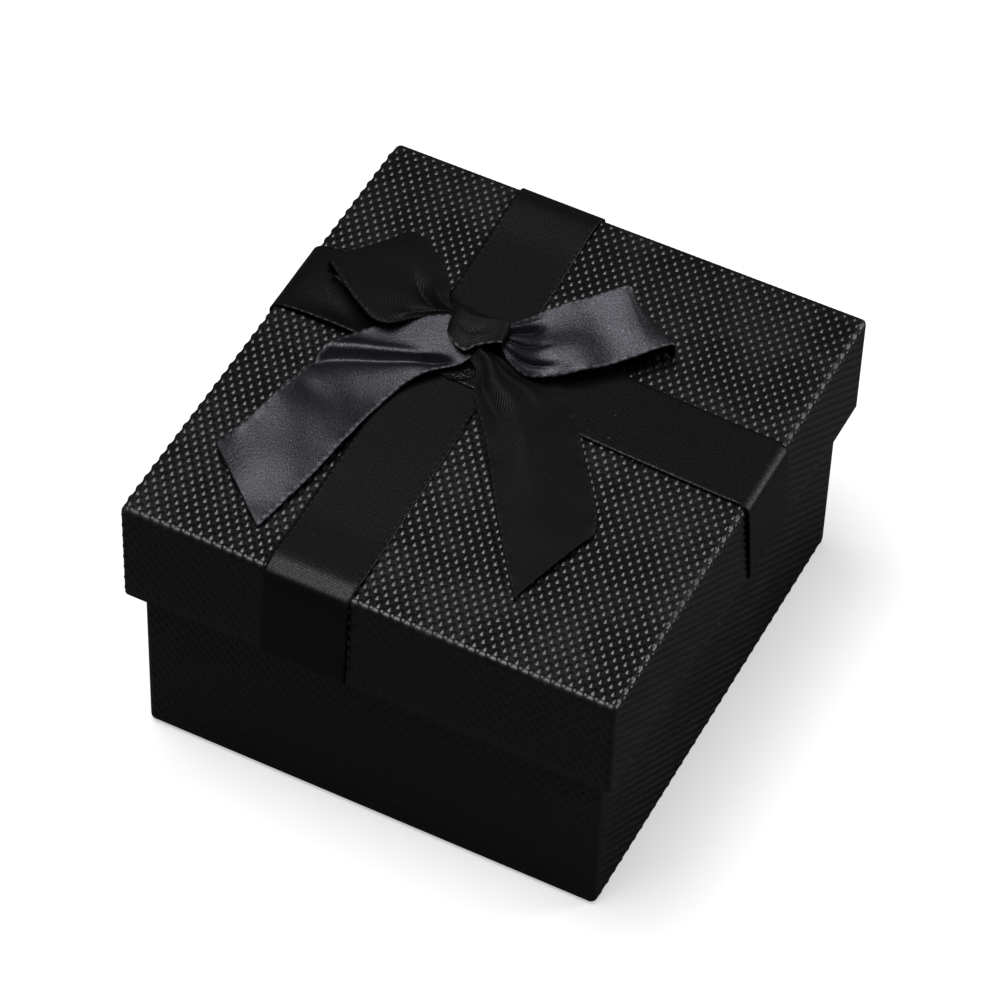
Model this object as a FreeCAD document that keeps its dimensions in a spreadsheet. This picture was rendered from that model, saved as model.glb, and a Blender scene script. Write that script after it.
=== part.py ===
import FreeCAD, Part

import math
import os

import Sketcher

# Jewelry gift box: a tray with a loose pillow in it, a telescoping lid, two ribbons crossed over
# the lid and a bow on their crossing. Millimetres, +Z up, origin at the middle of the underside,
# -Y is the front and +X the right.

# Driving dimensions, one cell of the sheet each.
SIZES = {
    # the box
    "lid_width": 86.0,  # outside, left to right
    "lid_depth": 93.0,  # outside, front to back
    "box_height": 53.0,  # table to lid top
    "skirt_height": 20.0,  # the lid's outside height
    # board and paper
    "lid_board_thick": 1.4,
    "tray_board_thick": 1.4,
    "wrap_thick": 0.2,  # embossed paper
    "liner_thick": 0.2,
    "sheet_thick": 0.2,  # the sheet pasted under the tray
    "stay_thick": 0.12,  # corner tape
    "stay_leg": 9.0,  # corner tape, each way from the corner
    "edge_radius": 1.1,  # the wrapped board's rounded outer edges
    "lid_turn_in": 9.0,  # paper turned up inside the skirt
    "tray_turn_in": 14.0,  # paper turned down inside the tray
    "turn_under": 10.0,  # paper turned under the tray's floor
    "sheet_inset": 2.0,  # bottom sheet's edge in from the tray's side
    # fits
    "lid_clearance": 0.6,  # skirt to tray, each side
    "seat_gap": 0.05,  # tray rim to lid liner
    "pillow_clearance": 0.6,  # pillow to tray wall, each side
    "pillow_floor_gap": 0.3,
    # the pillow
    "pillow_height": 36.0,
    "pillow_radius": 12.0,  # rounded all round
    "cover_thick": 0.8,
    # ribbon
    "ribbon_width": 15.0,
    "ribbon_thick": 0.2,
    "ribbon_tuck": 8.0,  # ribbon turned up inside the skirt
    "tape_thick": 0.1,
    "tape_length": 10.0,
    "tape_height": 5.0,
    # ribbon centre lines where they meet the lid's edges and the skirt's foot
    "lengthwise_front": -9.8,
    "lengthwise_back": -12.2,
    "lengthwise_front_foot": -10.6,
    "crosswise_left": 10.8,
    "crosswise_right": 7.2,
    "crosswise_right_foot": 10.6,
    # the bow
    "bow_ribbon_thick": 0.3,
    "bow_across": -10.2,  # the knot's middle, left to right
    "bow_along": 8.6,  # the knot's middle, front to back
    "glue_radius": 3.4,
    "glue_height": 0.6,
    "glue_forward": 3.4,  # the bead's middle in front of the knot's
    "knot_width": 7.4,
    "knot_length": 10.0,
    "knot_height": 5.6,
    "knot_strap": 0.6,  # ribbon folded double round the bow's middle
    "throat_width": 7.4,  # gathered loops in the knot
    "throat_height": 2.6,
    "loop_start": 7.2,  # full width from here, clear of the knot's corners
    "loop_height": 4.8,
    "loop_gap": 0.3,  # loops above the knot's lower strap, and apart in its middle
    "left_loop_length": 26.0,
    "left_loop_angle": 159.0,
    "right_loop_length": 27.5,
    "right_loop_angle": 39.5,
    "tail_gap": 0.05,  # tails above the glue
    "tail_start": 2.5,  # from the knot's middle
    "tail_taper": 0.53,  # half width gained for each step out, until the ribbon is at its full width
    "tail_arch": 2.6,
    "left_tail_left_edge": 50.0,  # edges seen from the knot, uneven because the cut slants
    "left_tail_right_edge": 45.0,
    "left_tail_angle": 248.0,
    "right_tail_left_edge": 45.0,
    "right_tail_right_edge": 53.0,
    "right_tail_angle": -49.0,
}

doc = FreeCAD.newDocument("jewelry_gift_box")
V = FreeCAD.Vector
Z_AXIS = V(0, 0, 1)
X_AXIS = V(1, 0, 0)


def fill_sheet():
    """Writes the driving dimensions into the document's sheet."""
    sheet = doc.addObject("Spreadsheet::Sheet", "sizes")
    for row, (alias, value) in enumerate(SIZES.items(), start=1):
        sheet.set(f"A{row}", alias)
        sheet.set(f"B{row}", str(value))
        sheet.setAlias(f"B{row}", alias)
    doc.recompute()


def s(words):
    """Turns sizes' names into an expression: every name in the sheet gets the sheet's prefix."""
    parts = words.replace("(", " ( ").replace(")", " ) ").split()
    return " ".join(f"sizes.{part}" if part in SIZES else part for part in parts)


# Places that several pieces share, as expressions.
WALL = "lid_board_thick + 2 * wrap_thick + lid_clearance"  # lid outside to tray outside
LID_FOOT = "( box_height - skirt_height )"
LID_BOARD_TOP = "( box_height - wrap_thick )"
LID_CEILING = "( box_height - wrap_thick - lid_board_thick )"
RIM_TOP = "( box_height - wrap_thick - lid_board_thick - liner_thick - seat_gap )"
TRAY_X = f"( lid_width - 2 * ( {WALL} ) )"
TRAY_Y = f"( lid_depth - 2 * ( {WALL} ) )"
TRAY_FOOT = "sheet_thick"
TRAY_BOARD_FOOT = "( sheet_thick + wrap_thick )"
TRAY_BOARD_TOP = f"( {RIM_TOP} - wrap_thick )"
TRAY_FLOOR = "( sheet_thick + wrap_thick + tray_board_thick )"
TRAY_BOARD_X = f"( {TRAY_X} - 2 * wrap_thick )"
TRAY_BOARD_Y = f"( {TRAY_Y} - 2 * wrap_thick )"
TRAY_ROOM_X = f"( {TRAY_BOARD_X} - 2 * tray_board_thick )"
TRAY_ROOM_Y = f"( {TRAY_BOARD_Y} - 2 * tray_board_thick )"
LID_BOARD_X = "( lid_width - 2 * wrap_thick )"
LID_BOARD_Y = "( lid_depth - 2 * wrap_thick )"
LID_ROOM_X = "( lid_width - 2 * wrap_thick - 2 * lid_board_thick )"
LID_ROOM_Y = "( lid_depth - 2 * wrap_thick - 2 * lid_board_thick )"
BOW_FOOT = "( box_height + 2 * ribbon_thick )"
TAIL_LEVEL = f"( {BOW_FOOT} + glue_height + tail_gap )"
TAIL_FLARE = "( ribbon_width / 2 / tail_taper )"  # from the knot's middle to a tail's full width
KNOT_FOOT = f"( {TAIL_LEVEL} + 2 * bow_ribbon_thick )"
LOOP_LEVEL = f"( {KNOT_FOOT} + knot_strap + loop_gap )"


def bind(item, **places):
    """Binds properties of an object to expressions; x, y and z are its place."""
    for name, words in places.items():
        target = f"Placement.Base.{name}" if name in ("x", "y", "z") else name
        item.setExpression(target, s(words))
    return item


def block(name, size_x, size_y, low, high):
    """A box centred on the Z axis between two heights."""
    box = doc.addObject("Part::Box", name)
    bind(box, Length=size_x, Width=size_y, Height=f"( {high} ) - ( {low} )")
    return bind(box, x=f"- ( {size_x} ) / 2", y=f"- ( {size_y} ) / 2", z=low)


def rounded_block(name, size_x, size_y, low, high, radius, open_end=None):
    """A box centred on the Z axis, rounded on every edge that doesn't touch its open end.

    The open end is "top", "bottom" or None, which rounds every edge.
    """
    body = doc.addObject("PartDesign::Body", name)
    core = body.newObject("PartDesign::AdditiveBox", f"{name}_core")
    bind(core, Length=size_x, Width=size_y, Height=f"( {high} ) - ( {low} )")
    bind(core, x=f"- ( {size_x} ) / 2", y=f"- ( {size_y} ) / 2", z=low)
    doc.recompute()
    box = core.Shape.BoundBox
    kept = {"top": box.ZMax, "bottom": box.ZMin, None: math.inf}[open_end]
    edges = []
    for number, edge in enumerate(core.Shape.Edges, start=1):
        if any(abs(vertex.Z - kept) > 1e-6 for vertex in edge.Vertexes):
            edges.append(f"Edge{number}")
    fillet = body.newObject("PartDesign::Fillet", f"{name}_edges")
    fillet.Base = (core, edges)
    bind(fillet, Radius=radius)
    return body


def cut(name, base, *tools):
    """The base less each tool in turn."""
    for number, tool in enumerate(tools, start=1):
        last = number == len(tools)
        step = doc.addObject("Part::Cut", name if last else f"{name}_step_{number}")
        step.Base = base
        step.Tool = tool
        base = step
    return base


def fuse(name, *pieces):
    """Several shapes as one solid, or as one group where they don't touch."""
    whole = doc.addObject("Part::MultiFuse", name)
    whole.Shapes = list(pieces)
    whole.Refine = True
    return whole


def common(name, first, second):
    """What two shapes share."""
    shared = doc.addObject("Part::Common", name)
    shared.Base = first
    shared.Tool = second
    return shared


def outline_pad(name, plane, points, height, middle):
    """A closed outline of straight sides on one of a body's own planes, made solid.

    Args:
        plane: the role of the origin plane, such as XY_Plane.
        points: the corners, each a pair of expressions.
        height: expression for the solid's height over the plane.
        middle: True to grow it both ways from the plane.
    """
    body = doc.addObject("PartDesign::Body", name)
    sketch = body.newObject("Sketcher::SketchObject", f"{name}_sketch")
    support = [item for item in body.Origin.OriginFeatures if item.Role == plane][0]
    sketch.AttachmentSupport = [(support, "")]
    sketch.MapMode = "FlatFace"
    count = len(points)
    # the corners start on a circle and the constraints pull them to their places
    circle = [V(math.cos(k * math.tau / count), math.sin(k * math.tau / count), 0) for k in range(count)]
    for k in range(count):
        sketch.addGeometry(Part.LineSegment(circle[k], circle[(k + 1) % count]), False)
    for k in range(count):
        sketch.addConstraint(Sketcher.Constraint("Coincident", k, 2, (k + 1) % count, 1))
    for k, place in enumerate(points):
        for kind, words, start in zip(("DistanceX", "DistanceY"), place, (circle[k].x, circle[k].y)):
            number = sketch.addConstraint(Sketcher.Constraint(kind, -1, 1, k, 1, start))
            sketch.setExpression(f"Constraints[{number}]", s(words))
    pad = body.newObject("PartDesign::Pad", f"{name}_pad")
    pad.Profile = sketch
    pad.Midplane = middle
    bind(pad, Length=height)
    return body


def corner_posts(name, size_x, size_y, low, high):
    """Four square posts on a rectangle's corners, as far in as a corner tape's legs reach."""
    posts = []
    for side_x in (-1, 1):
        for side_y in (-1, 1):
            post = block(f"{name}_{len(posts) + 1}", "2 * stay_leg", "2 * stay_leg", low, high)
            bind(post, x=f"{side_x} * ( {size_x} ) / 2 - stay_leg")
            bind(post, y=f"{side_y} * ( {size_y} ) / 2 - stay_leg")
            posts.append(post)
    return fuse(name, *posts)


def board_with_stays(name, stays_name, form, size_x, size_y, low, high, cavity):
    """A board shell and the corner tapes pressed flush into it.

    The tapes stop short of the board's foot and top by the board's own rounded edge.
    """
    short = "edge_radius"
    band_low = f"{low} + {short}"
    band_high = f"{high} - {short}"
    inner = block(f"{name}_inside_stays", f"{size_x} - 2 * stay_thick", f"{size_y} - 2 * stay_thick",
                  f"{low} - stay_leg", f"{high} + stay_leg")
    skin = cut(f"{name}_skin", form, inner)
    stays = common(stays_name, skin, corner_posts(f"{name}_corners", size_x, size_y, band_low, band_high))
    board = cut(name, form, cavity, stays)
    return board, stays


def tray():
    """The tray's board, corner tapes, embossed wrap, bottom sheet and lining."""
    inner_radius = "edge_radius - wrap_thick"
    form = rounded_block("tray_board_form", TRAY_BOARD_X, TRAY_BOARD_Y, TRAY_BOARD_FOOT, TRAY_BOARD_TOP,
                         inner_radius, "top")
    cavity = block("tray_cavity", TRAY_ROOM_X, TRAY_ROOM_Y, TRAY_FLOOR, f"{RIM_TOP} + 1")
    board, stays = board_with_stays("base_board", "base_corner_stays", form, TRAY_BOARD_X, TRAY_BOARD_Y,
                                    TRAY_BOARD_FOOT, TRAY_BOARD_TOP, cavity)

    skin = rounded_block("tray_wrap_form", TRAY_X, TRAY_Y, TRAY_FOOT, RIM_TOP, "edge_radius", "top")
    mouth = block("tray_mouth", f"{TRAY_ROOM_X} - 2 * wrap_thick", f"{TRAY_ROOM_Y} - 2 * wrap_thick",
                  TRAY_BOARD_TOP, f"{RIM_TOP} + 1")
    under = block("tray_under_opening", f"{TRAY_X} - 2 * turn_under", f"{TRAY_Y} - 2 * turn_under",
                  f"{TRAY_FOOT} - 1", TRAY_BOARD_FOOT)
    outside = cut("base_wrap_outside", skin, form, mouth, under)
    hem_foot = f"{RIM_TOP} - tray_turn_in"
    hem_block = block("tray_hem_block", TRAY_ROOM_X, TRAY_ROOM_Y, hem_foot, TRAY_BOARD_TOP)
    hem_room = block("tray_hem_room", f"{TRAY_ROOM_X} - 2 * wrap_thick", f"{TRAY_ROOM_Y} - 2 * wrap_thick",
                     f"{hem_foot} - 1", f"{RIM_TOP} + 1")
    wrap = fuse("base_wrap", outside, cut("tray_hem", hem_block, hem_room))

    sheet = block("base_bottom_sheet", f"{TRAY_X} - 2 * sheet_inset", f"{TRAY_Y} - 2 * sheet_inset",
                  "0", TRAY_FOOT)

    liner_block = block("tray_liner_block", TRAY_ROOM_X, TRAY_ROOM_Y, TRAY_FLOOR, hem_foot)
    liner_room = block("tray_liner_room", f"{TRAY_ROOM_X} - 2 * liner_thick",
                       f"{TRAY_ROOM_Y} - 2 * liner_thick", f"{TRAY_FLOOR} + liner_thick", f"{RIM_TOP} + 1")
    liner = cut("base_liner", liner_block, liner_room)
    return [board, stays, wrap, sheet, liner]


def pillow():
    """The jewel pillow's cover and the wadding inside it."""
    side = "2 * ( liner_thick + pillow_clearance )"
    low = f"( {TRAY_FLOOR} + liner_thick + pillow_floor_gap )"
    high = f"( {low} + pillow_height )"
    size_x = f"( {TRAY_ROOM_X} - {side} )"
    size_y = f"( {TRAY_ROOM_Y} - {side} )"
    outer = rounded_block("pillow_outside", size_x, size_y, low, high, "pillow_radius")
    filling = rounded_block("pillow_filling", f"{size_x} - 2 * cover_thick", f"{size_y} - 2 * cover_thick",
                            f"{low} + cover_thick", f"{high} - cover_thick", "pillow_radius - cover_thick")
    return [cut("pillow_cover", outer, filling), filling]


def lid():
    """The lid's board, corner tapes, embossed wrap and lining."""
    inner_radius = "edge_radius - wrap_thick"
    board_foot = f"( {LID_FOOT} + wrap_thick )"
    form = rounded_block("lid_board_form", LID_BOARD_X, LID_BOARD_Y, board_foot, LID_BOARD_TOP,
                         inner_radius, "bottom")
    cavity = block("lid_cavity", LID_ROOM_X, LID_ROOM_Y, f"{LID_FOOT} - 1", LID_CEILING)
    board, stays = board_with_stays("lid_board", "lid_corner_stays", form, LID_BOARD_X, LID_BOARD_Y,
                                    board_foot, LID_BOARD_TOP, cavity)

    skin = rounded_block("lid_wrap_form", "lid_width", "lid_depth", LID_FOOT, "box_height", "edge_radius",
                         "bottom")
    mouth = block("lid_mouth", f"{LID_ROOM_X} - 2 * wrap_thick", f"{LID_ROOM_Y} - 2 * wrap_thick",
                  f"{LID_FOOT} - 1", board_foot)
    outside = cut("lid_wrap_outside", skin, form, mouth)
    hem_top = f"{LID_FOOT} + lid_turn_in"
    hem_block = block("lid_hem_block", LID_ROOM_X, LID_ROOM_Y, board_foot, hem_top)
    hem_room = block("lid_hem_room", f"{LID_ROOM_X} - 2 * wrap_thick", f"{LID_ROOM_Y} - 2 * wrap_thick",
                     f"{LID_FOOT} - 1", f"{hem_top} + 1")
    wrap = fuse("lid_wrap", outside, cut("lid_hem", hem_block, hem_room))

    liner_block = block("lid_liner_block", LID_ROOM_X, LID_ROOM_Y, hem_top, LID_CEILING)
    liner_room = block("lid_liner_room", f"{LID_ROOM_X} - 2 * liner_thick", f"{LID_ROOM_Y} - 2 * liner_thick",
                       f"{LID_FOOT} - 1", f"{LID_CEILING} - liner_thick")
    liner = cut("lid_liner", liner_block, liner_room)
    return [board, stays, wrap, liner]


def slanted_strip(name, low_centre, high_centre, low, high):
    """A flat strip of ribbon along Y whose centre line runs from one X to another.

    It lies on the XY plane and is one ribbon's thickness high.
    """
    strip = doc.addObject("Part::Wedge", name)
    half = "ribbon_width / 2"
    bind(strip, Xmin=f"{low_centre} - {half}", Xmax=f"{low_centre} + {half}", Ymin=low)
    bind(strip, X2min=f"{high_centre} - {half}", X2max=f"{high_centre} + {half}", Ymax=high)
    strip.Zmin = 0
    strip.Z2min = 0
    return bind(strip, Zmax="ribbon_thick", Z2max="ribbon_thick")


def ribbon_band(name, depth, near, far, near_foot, far_foot, lift):
    """One ribbon over the lid along Y, down both skirts, and tucked up inside them.

    Args:
        depth: the lid's outside size along the ribbon.
        near, far: the ribbon's centre across the lid at its -Y and +Y edges.
        near_foot, far_foot: the same at the skirt's lower edge.
        lift: how far the ribbon lies above the lid.

    Returns:
        The ribbon and its two tape patches.
    """
    reach = f"( {depth} ) / 2"
    top = f"( box_height + {lift} )"
    foot = f"( {LID_FOOT} - ribbon_thick )"
    tuck_out = f"( {reach} - 2 * wrap_thick - lid_board_thick - tape_thick )"
    over = slanted_strip(f"{name}_over", near, far, f"- {reach} - ribbon_thick", f"{reach} + ribbon_thick")
    bind(over, z=top)
    pieces = [over]
    patches = []
    for end, side, centre, centre_foot in (("near", -1, near, near_foot), ("far", 1, far, far_foot)):
        down = slanted_strip(f"{name}_{end}_skirt", centre_foot, centre, foot, f"{top} + ribbon_thick")
        # stood up: the strip's length runs along Z and its thickness towards -Y
        down.Placement = FreeCAD.Placement(V(0, 0, 0), FreeCAD.Rotation(X_AXIS, 90))
        bind(down, y=f"- {reach}" if side < 0 else f"{reach} + ribbon_thick")
        under = block(f"{name}_{end}_under", "ribbon_width", f"{reach} - {tuck_out} + 2 * ribbon_thick", foot,
                      LID_FOOT)
        bind(under, x=f"{centre_foot} - ribbon_width / 2")
        tuck = block(f"{name}_{end}_tuck", "ribbon_width", "ribbon_thick", foot, f"{LID_FOOT} + ribbon_tuck")
        bind(tuck, x=f"{centre_foot} - ribbon_width / 2")
        tape_top = f"{LID_FOOT} + ribbon_tuck"
        patch = block(f"{name}_{end}_tape", "tape_length", "tape_thick", f"{tape_top} - tape_height",
                      tape_top)
        bind(patch, x=f"{centre_foot} - tape_length / 2")
        if side < 0:
            bind(under, y=f"- {reach} - ribbon_thick")
            bind(tuck, y=f"- {tuck_out}")
            bind(patch, y=f"- {tuck_out} - tape_thick")
        else:
            bind(under, y=f"{tuck_out} - ribbon_thick")
            bind(tuck, y=f"{tuck_out} - ribbon_thick")
            bind(patch, y=tuck_out)
        pieces += [down, under, tuck]
        patches.append(patch)
    return fuse(name, *pieces), fuse(f"{name}_tapes", *patches)


def ribbons():
    """Both ribbons and the tape patches that hold their ends."""
    lengthwise, near_tapes = ribbon_band(
        "lengthwise_ribbon", "lid_depth", "lengthwise_front", "lengthwise_back", "lengthwise_front_foot",
        "lengthwise_back", "0")
    # made along Y like the first, then turned: its near end goes to the left and its X to -Y
    crosswise, side_tapes = ribbon_band(
        "crosswise_ribbon", "lid_width", "( 0 - crosswise_left )", "( 0 - crosswise_right )",
        "( 0 - crosswise_left )", "( 0 - crosswise_right_foot )", "ribbon_thick")
    quarter_turn = FreeCAD.Placement(V(0, 0, 0), FreeCAD.Rotation(Z_AXIS, -90))
    crosswise.Placement = quarter_turn
    side_tapes.Placement = quarter_turn
    tapes = fuse("ribbon_end_tapes", near_tapes, side_tapes)
    return [lengthwise, crosswise, tapes]


def turn(piece, angle):
    """Turns a piece about the Z axis by a named angle."""
    piece.Placement = FreeCAD.Placement(piece.Placement.Base, FreeCAD.Rotation(Z_AXIS, SIZES[angle]))
    piece.setExpression("Placement.Rotation.Angle", s(f"{angle} * 1 deg"))
    return piece


def place_on_bow(piece, height):
    """Lifts a piece made round the origin to a height over the knot's middle."""
    return bind(piece, x="bow_across", y="bow_along", z=height)


def knot():
    """The ribbon round the bow's middle: a strap closed on itself, open to left and right."""
    outer = block("knot_outside", "knot_width", "knot_length", "0", "knot_height")
    room = block("knot_room", "knot_width + 2", "knot_length - 2 * knot_strap", "knot_strap",
                 "knot_height - knot_strap")
    return place_on_bow(cut("bow_knot", outer, room), KNOT_FOOT)


def loop(name, length, angle, side):
    """One loop: a ribbon folded over at its far end and gathered where it enters the knot.

    Args:
        length, angle: names of the loop's sizes.
        side: -1 for a loop that leaves the knot to the left, 1 to the right.
    """
    thick = "bow_ribbon_thick"
    bend = "loop_height / 4"
    profile = [
        ("loop_gap", "0"),
        (f"{length} - {bend}", "0"),
        (length, bend),
        (length, f"loop_height - {bend}"),
        (f"{length} - {bend}", "loop_height"),
        ("loop_start + throat_width / 2", "loop_height"),
        ("knot_width / 2", "throat_height"),
        ("loop_gap", "throat_height"),
        ("loop_gap", f"throat_height - {thick}"),
        ("knot_width / 2", f"throat_height - {thick}"),
        ("loop_start + throat_width / 2", f"loop_height - {thick}"),
        (f"{length} - {bend}", f"loop_height - {thick}"),
        (f"{length} - {thick}", f"loop_height - {bend}"),
        (f"{length} - {thick}", bend),
        (f"{length} - {bend}", thick),
        ("loop_gap", thick),
    ]
    strip = turn(outline_pad(f"{name}_strip", "XZ_Plane", profile, "ribbon_width", True), angle)
    blade_outline = [
        ("loop_start", "- ribbon_width / 2"),
        (length, "- ribbon_width / 2"),
        (length, "ribbon_width / 2"),
        ("loop_start", "ribbon_width / 2"),
    ]
    blade = turn(outline_pad(f"{name}_blade", "XY_Plane", blade_outline, "loop_height", False), angle)
    throat = block(f"{name}_throat", "loop_start + throat_width / 2", "throat_width", "0", "loop_height")
    bind(throat, x="0" if side > 0 else "- loop_start - throat_width / 2")
    return place_on_bow(common(name, strip, fuse(f"{name}_plan", throat, blade)), LOOP_LEVEL)


def tail(name, left_edge, right_edge, angle):
    """One tail: a ribbon that widens out of the knot, arches over the lid and ends in a slanted cut.

    Args:
        left_edge, right_edge: names of its two edges' lengths, seen from the knot.
        angle: name of its direction.
    """
    thick = "bow_ribbon_thick"
    longer = max((left_edge, right_edge), key=SIZES.get)
    slope = f"( {longer} - {TAIL_FLARE} ) / 4"
    profile = [
        ("tail_start", "0"),
        (TAIL_FLARE, "0"),
        (f"{TAIL_FLARE} + {slope}", "tail_arch"),
        (f"{longer} - {slope}", "tail_arch"),
        (longer, "0"),
        (longer, thick),
        (f"{longer} - {slope}", f"tail_arch + {thick}"),
        (f"{TAIL_FLARE} + {slope}", f"tail_arch + {thick}"),
        (TAIL_FLARE, thick),
        ("tail_start", thick),
    ]
    strip = turn(outline_pad(f"{name}_strip", "XZ_Plane", profile, "ribbon_width", True), angle)
    gathered = "tail_start * tail_taper"
    plan = [
        ("tail_start", f"- {gathered}"),
        (TAIL_FLARE, "- ribbon_width / 2"),
        (right_edge, "- ribbon_width / 2"),
        (left_edge, "ribbon_width / 2"),
        (TAIL_FLARE, "ribbon_width / 2"),
        ("tail_start", gathered),
    ]
    blade = turn(outline_pad(f"{name}_plan", "XY_Plane", plan, "tail_arch + 1", False), angle)
    return place_on_bow(common(name, strip, blade), TAIL_LEVEL)


def glue_bead():
    """The bead of hot glue under the knot, a little towards the front."""
    bead = doc.addObject("Part::Cylinder", "bow_glue")
    bind(bead, Radius="glue_radius", Height="glue_height")
    return bind(bead, x="bow_across", y="bow_along - glue_forward", z=BOW_FOOT)


def bow():
    """The bow on the ribbons' crossing."""
    return [
        glue_bead(),
        tail("bow_left_tail", "left_tail_left_edge", "left_tail_right_edge", "left_tail_angle"),
        tail("bow_right_tail", "right_tail_left_edge", "right_tail_right_edge", "right_tail_angle"),
        loop("bow_left_loop", "left_loop_length", "left_loop_angle", -1),
        loop("bow_right_loop", "right_loop_length", "right_loop_angle", 1),
        knot(),
    ]


def write_parts(pieces):
    """Checks the whole document, then writes each piece to a file named after its label."""
    doc.recompute()
    for item in doc.Objects:
        if "Invalid" in item.State or "Error" in item.State:
            raise RuntimeError(f"{item.Label} failed: {item.State}")
    for piece in pieces:
        if piece.Shape.isNull() or not piece.Shape.isValid() or not piece.Shape.Solids:
            raise RuntimeError(f"{piece.Label} has no sound solid")
    os.makedirs("parts", exist_ok=True)
    for piece in pieces:
        piece.Shape.exportStep(f"parts/{piece.Label}.step")
        print(f"{piece.Label}: {len(piece.Shape.Solids)} solid(s), {piece.Shape.Volume:.1f} mm3")


fill_sheet()
write_parts(tray() + pillow() + lid() + ribbons() + bow())
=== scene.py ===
"""The looks of a jewelry gift box: embossed paper, satin ribbons, a hand-tied bow and a jewel pillow."""
import logging
import math
from dataclasses import dataclass, field, replace
from enum import Enum
from functools import cache

import bmesh
import bpy
from mathutils import Matrix, Vector, noise
from mathutils.bvhtree import BVHTree


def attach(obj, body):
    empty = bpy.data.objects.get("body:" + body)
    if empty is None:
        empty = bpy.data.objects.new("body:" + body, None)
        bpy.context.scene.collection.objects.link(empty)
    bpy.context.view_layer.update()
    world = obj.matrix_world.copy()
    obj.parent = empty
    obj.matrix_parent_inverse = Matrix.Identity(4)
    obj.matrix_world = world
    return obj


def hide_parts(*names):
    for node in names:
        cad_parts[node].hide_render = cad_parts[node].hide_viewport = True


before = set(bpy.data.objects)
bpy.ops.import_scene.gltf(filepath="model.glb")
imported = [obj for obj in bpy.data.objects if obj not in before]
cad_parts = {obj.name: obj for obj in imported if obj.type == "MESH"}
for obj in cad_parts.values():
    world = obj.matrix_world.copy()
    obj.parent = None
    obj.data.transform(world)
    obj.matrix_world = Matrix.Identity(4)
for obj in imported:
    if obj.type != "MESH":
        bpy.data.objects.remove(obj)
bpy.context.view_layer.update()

log = logging.getLogger("gift_box")

MM = 0.001
Colour = tuple[float, float, float]
Place = tuple[float, float, float]
Socket = bpy.types.NodeSocket
Value = float | int | bool | tuple | Socket | None
Sockets = dict[str, tuple[str, Value]]
Fed = dict[str | int, Value]
Edge = list[Place]
LoopEdge = tuple[Edge, Edge]

# The main sizes, in millimetres.
LID_WIDTH = 86.0
LID_DEPTH = 93.0
LID_TOP = 53.0
LID_SKIRT = 20.0
TRAY_WIDTH = 81.2
TRAY_DEPTH = 88.2
TRAY_RIM = 51.15
TRAY_FOOT = 0.2
RIBBON_WIDTH = 15.0

STRIP_MAP = "ribbon"
BLACK = (0.0, 0.0, 0.0, 1.0)
WHITE = (1.0, 1.0, 1.0, 1.0)


# ---------------------------------------------------------------------------------------- wiring


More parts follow.
